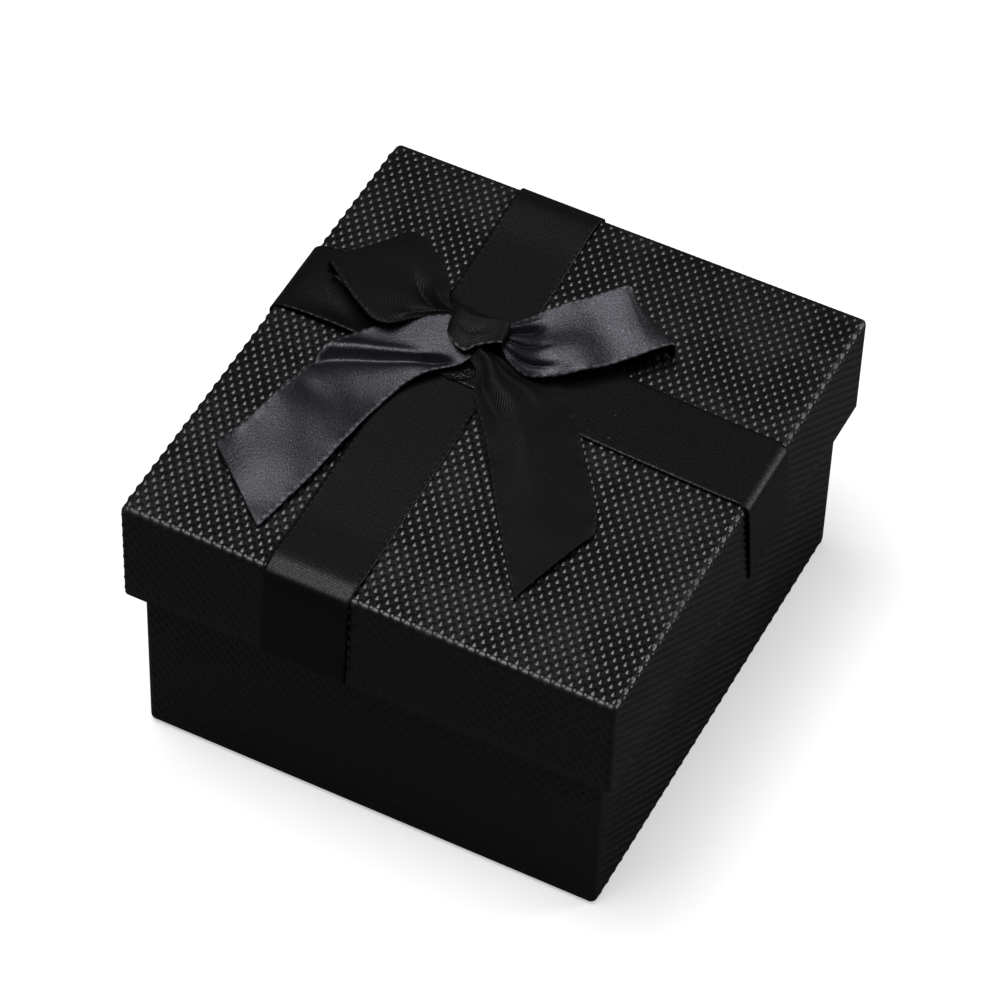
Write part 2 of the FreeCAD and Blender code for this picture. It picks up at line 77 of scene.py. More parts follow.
class Wiring:
    """Adds nodes to one tree and joins them up."""

    def __init__(self, tree: bpy.types.NodeTree) -> None:
        """Keeps the tree that the nodes go into."""
        self.tree = tree
        self.inlet: bpy.types.Node | None = None
        self.outlet: bpy.types.Node | None = None

    @classmethod
    def group(cls, name: str, kind: str, inputs: Sockets, outputs: dict[str, str]) -> "Wiring":
        """Starts a node group with named sockets.

        Args:
            name: the group's name.
            kind: GeometryNodeTree or ShaderNodeTree.
            inputs: each input's name, with its short type and its default.
            outputs: each output's name, with its short type.

        Returns:
            The wiring of the new group, with its inlet and outlet in place.
        """
        tree = bpy.data.node_groups.new(name, kind)
        for label, (short, default) in inputs.items():
            socket = tree.interface.new_socket(name=label, in_out="INPUT", socket_type=f"NodeSocket{short}")
            if default is not None:
                socket.default_value = default
        for label, short in outputs.items():
            tree.interface.new_socket(name=label, in_out="OUTPUT", socket_type=f"NodeSocket{short}")
        wiring = cls(tree)
        wiring.inlet = tree.nodes.new("NodeGroupInput")
        wiring.outlet = tree.nodes.new("NodeGroupOutput")
        return wiring

    def given(self, name: str) -> Socket:
        """One of the group's own inputs."""
        return self.inlet.outputs[name]

    def give(self, name: str, value: Socket) -> None:
        """Joins a value to one of the group's outputs."""
        self.tree.links.new(value, self.outlet.inputs[name])

    def feed(self, socket: Socket, value: Value) -> None:
        """Links a socket to another, or sets its plain value."""
        if isinstance(value, bpy.types.NodeSocket):
            self.tree.links.new(value, socket)
        elif value is not None:
            socket.default_value = value

    def node(self, kind: str, inputs: Fed | None = None, **settings: object) -> bpy.types.Node:
        """Adds a node.

        Args:
            kind: the node's type.
            inputs: values or sockets for its inputs, by name or number.
            settings: the node's own settings.

        Returns:
            The new node.
        """
        node = self.tree.nodes.new(kind)
        for name, setting in settings.items():
            setattr(node, name, setting)
        for name, value in (inputs or {}).items():
            self.feed(node.inputs[name], value)
        return node

    def use(self, tree: bpy.types.NodeTree, inputs: dict[str, Value]) -> bpy.types.Node:
        """Places a group in the tree and feeds its inputs."""
        kind = "GeometryNodeGroup" if self.tree.bl_idname == "GeometryNodeTree" else "ShaderNodeGroup"
        return self.node(kind, inputs, node_tree=tree)

    def math(self, operation: str, *values: Value, clamp: bool = False) -> Socket:
        """One sum on numbers."""
        node = self.node("ShaderNodeMath", operation=operation, use_clamp=clamp)
        for socket, value in zip(node.inputs, values):
            self.feed(socket, value)
        return node.outputs[0]

    def plus(self, first: Value, second: Value, clamp: bool = False) -> Socket:
        """Two numbers added."""
        return self.math("ADD", first, second, clamp=clamp)

    def minus(self, first: Value, second: Value, clamp: bool = False) -> Socket:
        """The second number taken from the first."""
        return self.math("SUBTRACT", first, second, clamp=clamp)

    def times(self, first: Value, second: Value, clamp: bool = False) -> Socket:
        """Two numbers multiplied."""
        return self.math("MULTIPLY", first, second, clamp=clamp)

    def logic(self, operation: str, *values: Value) -> Socket:
        """One AND, OR or NOT."""
        node = self.node("FunctionNodeBooleanMath", operation=operation)
        for socket, value in zip(node.inputs, values):
            self.feed(socket, value)
        return node.outputs[0]

    def split(self, vector: Socket) -> tuple[Socket, Socket, Socket]:
        """A vector's three parts."""
        node = self.node("ShaderNodeSeparateXYZ", {"Vector": vector})
        return node.outputs[0], node.outputs[1], node.outputs[2]

    def join(self, x: Value, y: Value, z: Value) -> Socket:
        """Three numbers as one vector."""
        return self.node("ShaderNodeCombineXYZ", {"X": x, "Y": y, "Z": z}).outputs[0]

    def ramp(
        self, value: Value, low: Value, high: Value, to_low: float = 0.0, to_high: float = 1.0
    ) -> Socket:
        """A value carried smoothly from one range to another and held at its ends."""
        node = self.node(
            "ShaderNodeMapRange",
            {"Value": value, "From Min": low, "From Max": high, "To Min": to_low, "To Max": to_high},
            interpolation_type="SMOOTHSTEP",
        )
        return node.outputs[0]

    def blend(self, factor: Value, first: Value, second: Value) -> Socket:
        """A mix of two colours."""
        node = self.node("ShaderNodeMix", data_type="RGBA")
        self.feed(node.inputs[0], factor)
        self.feed(node.inputs[6], first)
        self.feed(node.inputs[7], second)
        return node.outputs[2]

    def cloud(self, vector: Value, scale: Value, detail: float = 2.0, roughness: float = 0.5) -> Socket:
        """Soft noise between 0 and 1."""
        inputs = {"Vector": vector, "Scale": scale, "Detail": detail, "Roughness": roughness}
        return self.node("ShaderNodeTexNoise", inputs).outputs[0]


# ------------------------------------------------------------------------------- shader effects


@cache
def grain_effect() -> bpy.types.NodeTree:
    """Fine fibre grain: a height for bumps and a slow cloudiness for colour and gloss."""
    w = Wiring.group(
        "Grain",
        "ShaderNodeTree",
        {"Vector": ("Vector", None), "Grain": ("Float", 4000.0), "Cloud": ("Float", 90.0)},
        {"Height": "Float", "Cloud": "Float"},
    )
    fine = w.cloud(w.given("Vector"), w.given("Grain"), 3.0, 0.6)
    coarse = w.cloud(w.given("Vector"), w.times(w.given("Grain"), 0.27), 2.0)
    w.give("Height", w.plus(w.times(fine, 0.65), w.times(coarse, 0.35)))
    w.give("Cloud", w.ramp(w.cloud(w.given("Vector"), w.given("Cloud"), 4.0, 0.6), 0.3, 0.7))
    return w.tree


@cache
def dust_effect() -> bpy.types.NodeTree:
    """Scattered specks of dust and lint as a mask."""
    w = Wiring.group(
        "Dust",
        "ShaderNodeTree",
        {"Vector": ("Vector", None), "Specks": ("Float", 700.0), "Amount": ("Float", 0.5)},
        {"Mask": "Float"},
    )
    cells = w.node("ShaderNodeTexVoronoi", {"Vector": w.given("Vector"), "Scale": w.given("Specks")})
    near = w.ramp(cells.outputs["Distance"], 0.05, 0.16, 1.0, 0.0)
    patch = w.ramp(w.cloud(w.given("Vector"), 160.0, 3.0), 0.55, 0.75)
    w.give("Mask", w.times(w.times(near, patch), w.given("Amount")))
    return w.tree


@cache
def edge_wear_effect() -> bpy.types.NodeTree:
    """A mask of rubbed edges for a box: strong where two of its outer faces are both close."""
    w = Wiring.group(
        "Edge wear",
        "ShaderNodeTree",
        {
            "Vector": ("Vector", None),
            "Half Width": ("Float", 0.043),
            "Half Depth": ("Float", 0.046),
            "Top": ("Float", 0.053),
            "Foot": ("Float", 0.033),
            "Reach": ("Float", 0.001),
        },
        {"Mask": "Float"},
    )
    x, y, z = w.split(w.given("Vector"))
    gaps = [
        w.minus(w.given("Half Width"), w.math("ABSOLUTE", x)),
        w.minus(w.given("Half Depth"), w.math("ABSOLUTE", y)),
        w.math("MINIMUM", w.minus(w.given("Top"), z), w.minus(z, w.given("Foot"))),
    ]
    close = [w.minus(1.0, w.math("DIVIDE", gap, w.given("Reach")), clamp=True) for gap in gaps]
    pairs = [w.times(close[first], close[second]) for first, second in ((0, 1), (1, 2), (0, 2))]
    worn = w.plus(w.plus(pairs[0], pairs[1]), pairs[2], clamp=True)
    patchy = w.ramp(w.cloud(w.given("Vector"), 420.0, 4.0, 0.65), 0.35, 0.7, 0.25, 1.0)
    w.give("Mask", w.times(worn, patchy, clamp=True))
    return w.tree


@cache
def satin_effect() -> bpy.types.NodeTree:
    """Satin ribbon: long warp floats, a twill line, a mottled sheen, a stitched selvage and a dashed mask
    for a painted glint along the selvage.

    The map runs along the ribbon in ribbon widths and across it from 0 to 1.
    """
    w = Wiring.group(
        "Satin weave",
        "ShaderNodeTree",
        {
            "Vector": ("Vector", None),
            "Twill": ("Float", 0.3),
            "Mottle": ("Float", 1.0),
            "Twill Lines": ("Float", 24.0),
            "Selvage": ("Float", 0.04),
            "Picots": ("Float", 10.0),
        },
        {"Height": "Float", "Sheen": "Float", "Selvage": "Float"},
    )
    along, across, _ = w.split(w.given("Vector"))
    turn = 2 * math.pi
    slant = w.plus(across, w.times(along, 0.75))
    twill = w.math("SINE", w.times(w.times(slant, w.given("Twill Lines")), turn))
    float_place = w.join(w.times(along, 32.0), w.times(across, 42.0), 0.0)
    floats = w.cloud(float_place, 1.0, 3.0, 0.75)
    threads = w.times(floats, w.given("Mottle"))
    height = w.plus(w.times(twill, w.given("Twill")), threads)
    edge = w.math("ABSOLUTE", w.minus(across, 0.5))
    selvage = w.math("GREATER_THAN", edge, w.minus(0.5, w.given("Selvage")))
    picot = w.math("SINE", w.times(w.times(along, w.given("Picots")), turn))
    w.give("Height", w.plus(height, w.times(w.times(selvage, picot), 0.5)))
    speckle_place = w.join(w.times(along, 22.0), w.times(across, 34.0), 3.0)
    speckle = w.cloud(speckle_place, 1.0, 4.0, 0.75)
    lines = w.times(w.times(twill, w.given("Twill")), 0.25)
    w.give("Sheen", w.ramp(w.plus(speckle, lines), 0.28, 0.72))
    # The Selvage output marks the dashes along the edges where the colour gets a painted glint.
    w.give("Selvage", w.times(selvage, w.ramp(picot, -0.4, 0.5, 0.2, 1.0)))
    return w.tree


# -------------------------------------------------------------------------------------- finishes


@dataclass(frozen=True)
class Finish:
    """What every finish has: a name, a colour and a roughness."""

    name: str
    colour: Colour
    roughness: float

    def material(self) -> bpy.types.Material:
        """The finish's material, made the first time it is asked for."""
        made = bpy.data.materials.get(self.name)
        if made:
            return made
        material = bpy.data.materials.new(self.name)
        material.use_nodes = True
        shader = material.node_tree.nodes["Principled BSDF"]
        shader.inputs["Roughness"].default_value = self.roughness
        shader.inputs["Base Color"].default_value = (*self.colour, 1.0)
        self.dress(Wiring(material.node_tree), shader)
        return material

    def dress(self, w: Wiring, shader: bpy.types.Node) -> None:
        """Adds the finish's own nodes; each finish has its own."""
        raise NotImplementedError

    def object_place(self, w: Wiring) -> Socket:
        """The point on the piece, in metres."""
        return w.node("ShaderNodeTexCoord").outputs["Object"]

    def bump(self, w: Wiring, shader: bpy.types.Node, height: Socket, depth: float) -> None:
        """Joins a height to the shader as a bump.

        Args:
            w: the material's wiring.
            shader: the shader that takes the normal.
            height: the height, from 0 to 1.
            depth: what a height of 1 stands for, in metres.
        """
        bump = w.node("ShaderNodeBump", {"Height": height, "Distance": depth, "Strength": 1.0})
        w.feed(shader.inputs["Normal"], bump.outputs[0])

    def shade(self, factor: float) -> tuple[float, float, float, float]:
        """The finish's colour, lighter or darker."""
        return (*(min(1.0, part * factor) for part in self.colour), 1.0)


@dataclass(frozen=True)
class CoatedPaper(Finish):
    """Coated black paper, rubbed lighter along a box's edges."""

    half_width: float
    half_depth: float
    top: float
    foot: float
    specular: float = 0.6
    grain_depth: float = 0.00002

    def dress(self, w: Wiring, shader: bpy.types.Node) -> None:
        """Grain, cloudy gloss, edge wear and a little dust."""
        shader.inputs["Specular IOR Level"].default_value = self.specular
        place = self.object_place(w)
        grain = w.use(grain_effect(), {"Vector": place, "Grain": 5200.0, "Cloud": 70.0})
        wear = w.use(
            edge_wear_effect(),
            {
                "Vector": place,
                "Half Width": self.half_width,
                "Half Depth": self.half_depth,
                "Top": self.top,
                "Foot": self.foot,
                "Reach": 1.1 * MM,
            },
        )
        dust = w.use(dust_effect(), {"Vector": place, "Specks": 520.0, "Amount": 0.35})
        base = w.blend(grain.outputs["Cloud"], self.shade(0.8), self.shade(1.25))
        worn = w.blend(w.times(wear.outputs["Mask"], 0.3), base, self.shade(2.5))
        dusty = w.blend(dust.outputs["Mask"], worn, (0.09, 0.088, 0.085, 1.0))
        w.feed(shader.inputs["Base Color"], dusty)
        gloss = w.ramp(grain.outputs["Cloud"], 0.0, 1.0, self.roughness - 0.05, self.roughness + 0.05)
        w.feed(shader.inputs["Roughness"], w.plus(gloss, w.times(wear.outputs["Mask"], 0.25)))
        self.bump(w, shader, grain.outputs["Height"], self.grain_depth)


@dataclass(frozen=True)
class Satin(Finish):
    """One side of a woven satin ribbon."""

    specular: float
    streak: float
    weave_depth: float
    twill: float
    mottle: float
    # how strongly the selvage dashes are lightened, as a painted glint
    selvage: float
    tint: Colour = (1.0, 1.0, 1.0)

    def dress(self, w: Wiring, shader: bpy.types.Node) -> None:
        """Warp, twill and selvage on the ribbon's own map, with a streaked sheen along the threads and a
        painted glint in dashes along the selvage.
        """
        shader.inputs["Specular IOR Level"].default_value = self.specular
        shader.inputs["Specular Tint"].default_value = (*self.tint, 1.0)
        shader.inputs["Anisotropic"].default_value = self.streak
        along = w.node("ShaderNodeUVMap", uv_map=STRIP_MAP).outputs[0]
        weave = w.use(satin_effect(), {"Vector": along, "Twill": self.twill, "Mottle": self.mottle})
        dust = w.use(dust_effect(), {"Vector": self.object_place(w), "Specks": 420.0, "Amount": 0.3})
        cloth = w.blend(weave.outputs["Sheen"], self.shade(0.6), self.shade(1.5))
        # Painted glint: dashes along the selvage are lifted toward fourteen times the finish's own colour.
        colour_with_painted_glint = w.blend(w.times(weave.outputs["Selvage"], self.selvage), cloth, self.shade(14.0))
        w.feed(shader.inputs["Base Color"], w.blend(dust.outputs["Mask"], colour_with_painted_glint, (0.1, 0.1, 0.1, 1.0)))
        rough = w.ramp(weave.outputs["Sheen"], 0.0, 1.0, self.roughness + 0.09, self.roughness - 0.07)
        w.feed(shader.inputs["Roughness"], rough)
        self.bump(w, shader, weave.outputs["Height"], self.weave_depth)
        tangent = w.node("ShaderNodeTangent", direction_type="UV_MAP", uv_map=STRIP_MAP)
        w.feed(shader.inputs["Tangent"], tangent.outputs[0])


@dataclass(frozen=True)
class Board(Finish):
    """Greyboard with pulp fibres."""

    def dress(self, w: Wiring, shader: bpy.types.Node) -> None:
        """Pulp specks and a soft fibrous bump."""
        place = self.object_place(w)
        grain = w.use(grain_effect(), {"Vector": place, "Grain": 2200.0, "Cloud": 260.0})
        specks = w.use(dust_effect(), {"Vector": place, "Specks": 900.0, "Amount": 0.8})
        base = w.blend(grain.outputs["Cloud"], self.shade(0.75), self.shade(1.2))
        w.feed(shader.inputs["Base Color"], w.blend(specks.outputs["Mask"], base, self.shade(2.0)))
        self.bump(w, shader, grain.outputs["Height"], 0.00006)


@dataclass(frozen=True)
class PlainPaper(Finish):
    """Uncoated paper: linings, tapes and the sheet under the tray."""

    grain: float = 3000.0

    def dress(self, w: Wiring, shader: bpy.types.Node) -> None:
        """Fibre grain and uneven dye."""
        shader.inputs["Specular IOR Level"].default_value = 0.3
        place = self.object_place(w)
        grain = w.use(grain_effect(), {"Vector": place, "Grain": self.grain, "Cloud": 140.0})
        dust = w.use(dust_effect(), {"Vector": place, "Specks": 600.0, "Amount": 0.5})
        base = w.blend(grain.outputs["Cloud"], self.shade(0.8), self.shade(1.2))
        w.feed(shader.inputs["Base Color"], w.blend(dust.outputs["Mask"], base, self.shade(3.0)))
        self.bump(w, shader, grain.outputs["Height"], 0.00004)


@dataclass(frozen=True)
class Velvet(Finish):
    """Short-pile velvet that lies lighter and darker where it was brushed."""

    def dress(self, w: Wiring, shader: bpy.types.Node) -> None:
        """Pile bump, brushed patches and a sheen."""
        shader.inputs["Sheen Weight"].default_value = 0.16
        shader.inputs["Sheen Roughness"].default_value = 0.3
        shader.inputs["Specular IOR Level"].default_value = 0.15
        place = self.object_place(w)
        grain = w.use(grain_effect(), {"Vector": place, "Grain": 3600.0, "Cloud": 55.0})
        dust = w.use(dust_effect(), {"Vector": place, "Specks": 500.0, "Amount": 0.6})
        base = w.blend(grain.outputs["Cloud"], self.shade(0.6), self.shade(1.7))
        w.feed(shader.inputs["Base Color"], w.blend(dust.outputs["Mask"], base, self.shade(5.0)))
        self.bump(w, shader, grain.outputs["Height"], 0.00025)


@dataclass(frozen=True)
class Thread(Finish):
    """Twisted thread, sewn or in a woven edge."""

    sheen: float = 0.3

    def dress(self, w: Wiring, shader: bpy.types.Node) -> None:
        """A fine twist and uneven dye."""
        shader.inputs["Sheen Weight"].default_value = self.sheen
        shader.inputs["Specular IOR Level"].default_value = self.sheen
        place = self.object_place(w)
        grain = w.use(grain_effect(), {"Vector": place, "Grain": 6500.0, "Cloud": 300.0})
        base = w.blend(grain.outputs["Cloud"], self.shade(0.7), self.shade(1.4))
        w.feed(shader.inputs["Base Color"], base)
        self.bump(w, shader, grain.outputs["Height"], 0.00006)


@dataclass(frozen=True)
class Clear(Finish):
    """Milky plastic: cured hot glue and clear tape."""

    depth: float = 0.0001

    def dress(self, w: Wiring, shader: bpy.types.Node) -> None:
        """A smooth lumpy gloss over a milky body."""
        shader.inputs["Coat Weight"].default_value = 0.3
        shader.inputs["Specular IOR Level"].default_value = 0.3
        shader.inputs["Coat Roughness"].default_value = 0.08
        place = self.object_place(w)
        grain = w.use(grain_effect(), {"Vector": place, "Grain": 900.0, "Cloud": 500.0})
        base = w.blend(grain.outputs["Cloud"], self.shade(0.85), self.shade(1.1))
        w.feed(shader.inputs["Base Color"], base)
        self.bump(w, shader, grain.outputs["Height"], self.depth)


@dataclass(frozen=True)
class StudioFloor(Finish):
    """Pale studio floor that looks bright but throws little light back at the box."""

    bounce: float = 0.12
    glow: float = 0.5

    def dress(self, w: Wiring, shader: bpy.types.Node) -> None:
        """An even pale matt surface, darker for every ray but the camera's own."""
        shader.inputs["Specular IOR Level"].default_value = 0.0
        grain = w.use(grain_effect(), {"Vector": self.object_place(w), "Grain": 300.0, "Cloud": 2.0})
        pale = w.blend(grain.outputs["Cloud"], self.shade(0.99), self.shade(1.0))
        seen = w.node("ShaderNodeLightPath").outputs["Is Camera Ray"]
        w.feed(shader.inputs["Base Color"], w.blend(seen, self.shade(self.bounce), pale))
        shader.inputs["Emission Strength"].default_value = self.glow
        w.feed(shader.inputs["Emission Color"], w.blend(seen, BLACK, WHITE))


LID_PAPER = CoatedPaper(
    name="Embossed paper on the lid",
    colour=(0.0062, 0.0062, 0.0064),
    roughness=0.33,
    half_width=LID_WIDTH / 2 * MM,
    half_depth=LID_DEPTH / 2 * MM,
    top=LID_TOP * MM,
    foot=(LID_TOP - LID_SKIRT) * MM,
)
TRAY_PAPER = CoatedPaper(
    name="Embossed paper on the tray",
    colour=(0.006, 0.006, 0.0062),
    roughness=0.36,
    half_width=TRAY_WIDTH / 2 * MM,
    half_depth=TRAY_DEPTH / 2 * MM,
    top=TRAY_RIM * MM,
    foot=TRAY_FOOT * MM,
)
SATIN_FACE = Satin(
    name="Black satin, shiny side",
    colour=(0.0075, 0.0073, 0.0084),
    roughness=0.35,
    specular=0.8,
    streak=0.35,
    weave_depth=0.0001,
    twill=0.0,
    mottle=1.0,
    # A painted glint in dashes along the selvage.
    selvage=0.5,
    tint=(0.9, 0.88, 1.0),
)
SATIN_BACK = Satin(
    name="Black satin, dull side",
    colour=(0.0064, 0.0062, 0.0065),
    roughness=0.48,
    specular=0.14,
    streak=0.2,
    weave_depth=0.00006,
    twill=0.3,
    mottle=0.8,
    # A faint painted glint along the selvage.
    selvage=0.03,
)
# A darker, less glossy copy of the shiny side for the flat-lying bands: painted shade.
SATIN_BAND = Satin(
    name="Black satin, shiny side darkened as painted shade",
    colour=(0.0062, 0.006, 0.0064),
    roughness=0.34,
    specular=0.22,
    streak=0.3,
    weave_depth=0.00006,
    twill=0.11,
    mottle=1.0,
    selvage=0.0,
    tint=(0.98, 0.97, 1.0),
)
# The knot's dull side, with a strong painted glint in dashes along its selvage.
SATIN_KNOT = replace(SATIN_BACK, name="Black satin, dull side with a painted edge glint", selvage=1.0)
SHINY_OUT = (SATIN_FACE, SATIN_BACK)
DULL_OUT = (SATIN_BACK, SATIN_FACE)
GREYBOARD = Board(name="Black-cored greyboard", colour=(0.035, 0.033, 0.031), roughness=0.85)
LINING = PlainPaper(name="Black lining paper", colour=(0.016, 0.016, 0.017), roughness=0.75)
STAY_TAPE = PlainPaper(name="Corner stay tape", colour=(0.05, 0.038, 0.028), roughness=0.7, grain=1800.0)
VELVET = Velvet(name="Black velvet", colour=(0.012, 0.012, 0.014), roughness=0.8)
THREAD = Thread(name="Black sewing thread", colour=(0.07, 0.07, 0.075), roughness=0.5)
WOVEN_EDGE = Thread(
    name="Black satin, woven edge",
    colour=(0.005, 0.005, 0.0052),
    roughness=0.6,
    sheen=0.05,
)
WADDING = PlainPaper(name="Polyester wadding", colour=(0.55, 0.55, 0.54), roughness=0.9, grain=900.0)
GLUE = Clear(name="Cured hot glue", colour=(0.012, 0.012, 0.012), roughness=0.1, depth=0.0006)
TAPE = Clear(name="Clear tape", colour=(0.05, 0.05, 0.05), roughness=0.2, depth=0.00002)
FLOOR = StudioFloor(name="Studio floor", colour=(0.9, 0.9, 0.9), roughness=0.9)


# ------------------------------------------------------------------------------ shared building


def new_piece(name: str, mesh: bpy.types.Mesh, finish: Finish | None = None) -> bpy.types.Object:
    """Puts a mesh in the scene as a piece.

    Args:
        name: the piece's name.
        mesh: its mesh, in place.
        finish: the finish to give it, unless the mesh has one already.

    Returns:
        The new object, at the origin.
    """
    mesh.name = name
    piece = bpy.data.objects.new(name, mesh)
    bpy.context.scene.collection.objects.link(piece)
    if finish:
        mesh.materials.clear()
        mesh.materials.append(finish.material())
    return piece


def finished_mesh(piece: bpy.types.Object) -> bpy.types.Mesh:
    """A plain mesh of what the piece's modifiers make."""
    bpy.context.view_layer.update()
    graph = bpy.context.evaluated_depsgraph_get()
    return bpy.data.meshes.new_from_object(piece.evaluated_get(graph))


def grown_piece(
    name: str,
    tree: bpy.types.NodeTree,
    inputs: dict[str, object],
    start: bpy.types.Mesh | None = None,
) -> bpy.types.Object:
    """Runs a geometry tree and keeps what it makes as a plain piece.

    Args:
        name: the piece's name.
        tree: the tree, whose output is the piece.
        inputs: the tree's inputs, by name.
        start: the mesh that the tree grows from, if it needs one.

    Returns:
        The piece, with no modifier left on it.
    """
    seed = new_piece(name + "_seed", start or bpy.data.meshes.new(name + "_seed"))
    modifier = seed.modifiers.new("Growth", "NODES")
    modifier.node_group = tree
    for item in tree.interface.items_tree:
        if item.item_type == "SOCKET" and item.in_out == "INPUT" and item.name in inputs:
            modifier[item.identifier] = inputs[item.name]
    mesh = finished_mesh(seed)
    seed.modifiers.clear()
    bpy.data.objects.remove(seed)
    for slot in reversed(range(len(mesh.materials))):
        if mesh.materials[slot] is None:
            mesh.materials.pop(index=slot)
            for face in mesh.polygons:
                face.material_index -= int(face.material_index > slot)
    return new_piece(name, mesh)


def dress_nodes(**finishes: Finish) -> None:
    """Gives parts of the frame their finishes.

    Args:
        finishes: each part's finish, by the part's name.
    """
    for name, finish in finishes.items():
        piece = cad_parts[name]
        for slot in piece.material_slots:
            slot.material = finish.material()
        if not piece.material_slots:
            piece.data.materials.append(finish.material())
        log.info("dressed %s in %s", name, finish.name)


def report(piece: bpy.types.Object) -> None:
    """Says that a piece is done."""
    log.info("built %s: %d faces", piece.name, len(piece.data.polygons))


# ------------------------------------------------------------------------------- embossed dots


@cache
def fold_tree() -> bpy.types.NodeTree:
    """Folds a flat sheet down over two edges that face each other, along one direction.

    A point's place along that direction and its height above the sheet come in. Its new place, and how
    far it has risen, come out.
    """
    w = Wiring.group(
        "Fold over an edge",
        "GeometryNodeTree",
        {
            "Place": ("Float", 0.0),
            "Height": ("Float", 0.0),
            "Half": ("Float", 0.04),
            "Radius": ("Float", 0.001),
        },
        {"Place": "Float", "Rise": "Float"},
    )
    radius = w.given("Radius")
    edge = w.minus(w.given("Half"), radius)
    distance = w.math("ABSOLUTE", w.given("Place"))
    past = w.math("MAXIMUM", w.minus(distance, edge), 0.0)
    arc = w.times(radius, math.pi / 2)
    turned = w.math("DIVIDE", w.math("MINIMUM", past, arc), radius)
    beyond = w.math("MAXIMUM", w.minus(past, arc), 0.0)
    reach = w.plus(radius, w.given("Height"))
    out = w.plus(w.math("MINIMUM", distance, edge), w.times(reach, w.math("SINE", turned)))
    w.give("Place", w.times(out, w.math("SIGN", w.given("Place"))))
    lift = w.minus(w.times(reach, w.math("COSINE", turned)), radius)
    w.give("Rise", w.minus(lift, beyond))
    return w.tree


@cache
def dot_tree() -> bpy.types.NodeTree:
    """One raised dot: an oval dome of a few dozen faces whose rim sits just under the paper."""
    w = Wiring.group(
        "Raised dot",
        "GeometryNodeTree",
        {"Width": ("Float", 0.00125), "Length": ("Float", 0.0017), "Height": ("Float", 0.0002)},
        {"Mesh": "Geometry"},
    )
    cone = w.node(
        "GeometryNodeMeshCone",
        {"Vertices": 8, "Side Segments": 3, "Radius Top": 0.0, "Radius Bottom": 1.0, "Depth": 1.0},
        fill_type="NONE",
    )
    x, y, _ = w.split(w.node("GeometryNodeInputPosition").outputs[0])
    out = w.math("SQRT", w.plus(w.times(x, x), w.times(y, y)))
    dome = w.minus(1.0, w.math("POWER", out, 1.6))
    sunk = w.minus(w.times(dome, 1.12), 0.12)
    place = w.join(
        w.times(x, w.times(w.given("Width"), 0.5)),
        w.times(y, w.times(w.given("Length"), 0.5)),
        w.times(sunk, w.given("Height")),
    )
    shaped = w.node("GeometryNodeSetPosition", {"Geometry": cone.outputs["Mesh"], "Position": place})
    w.give("Mesh", shaped.outputs[0])
    return w.tree


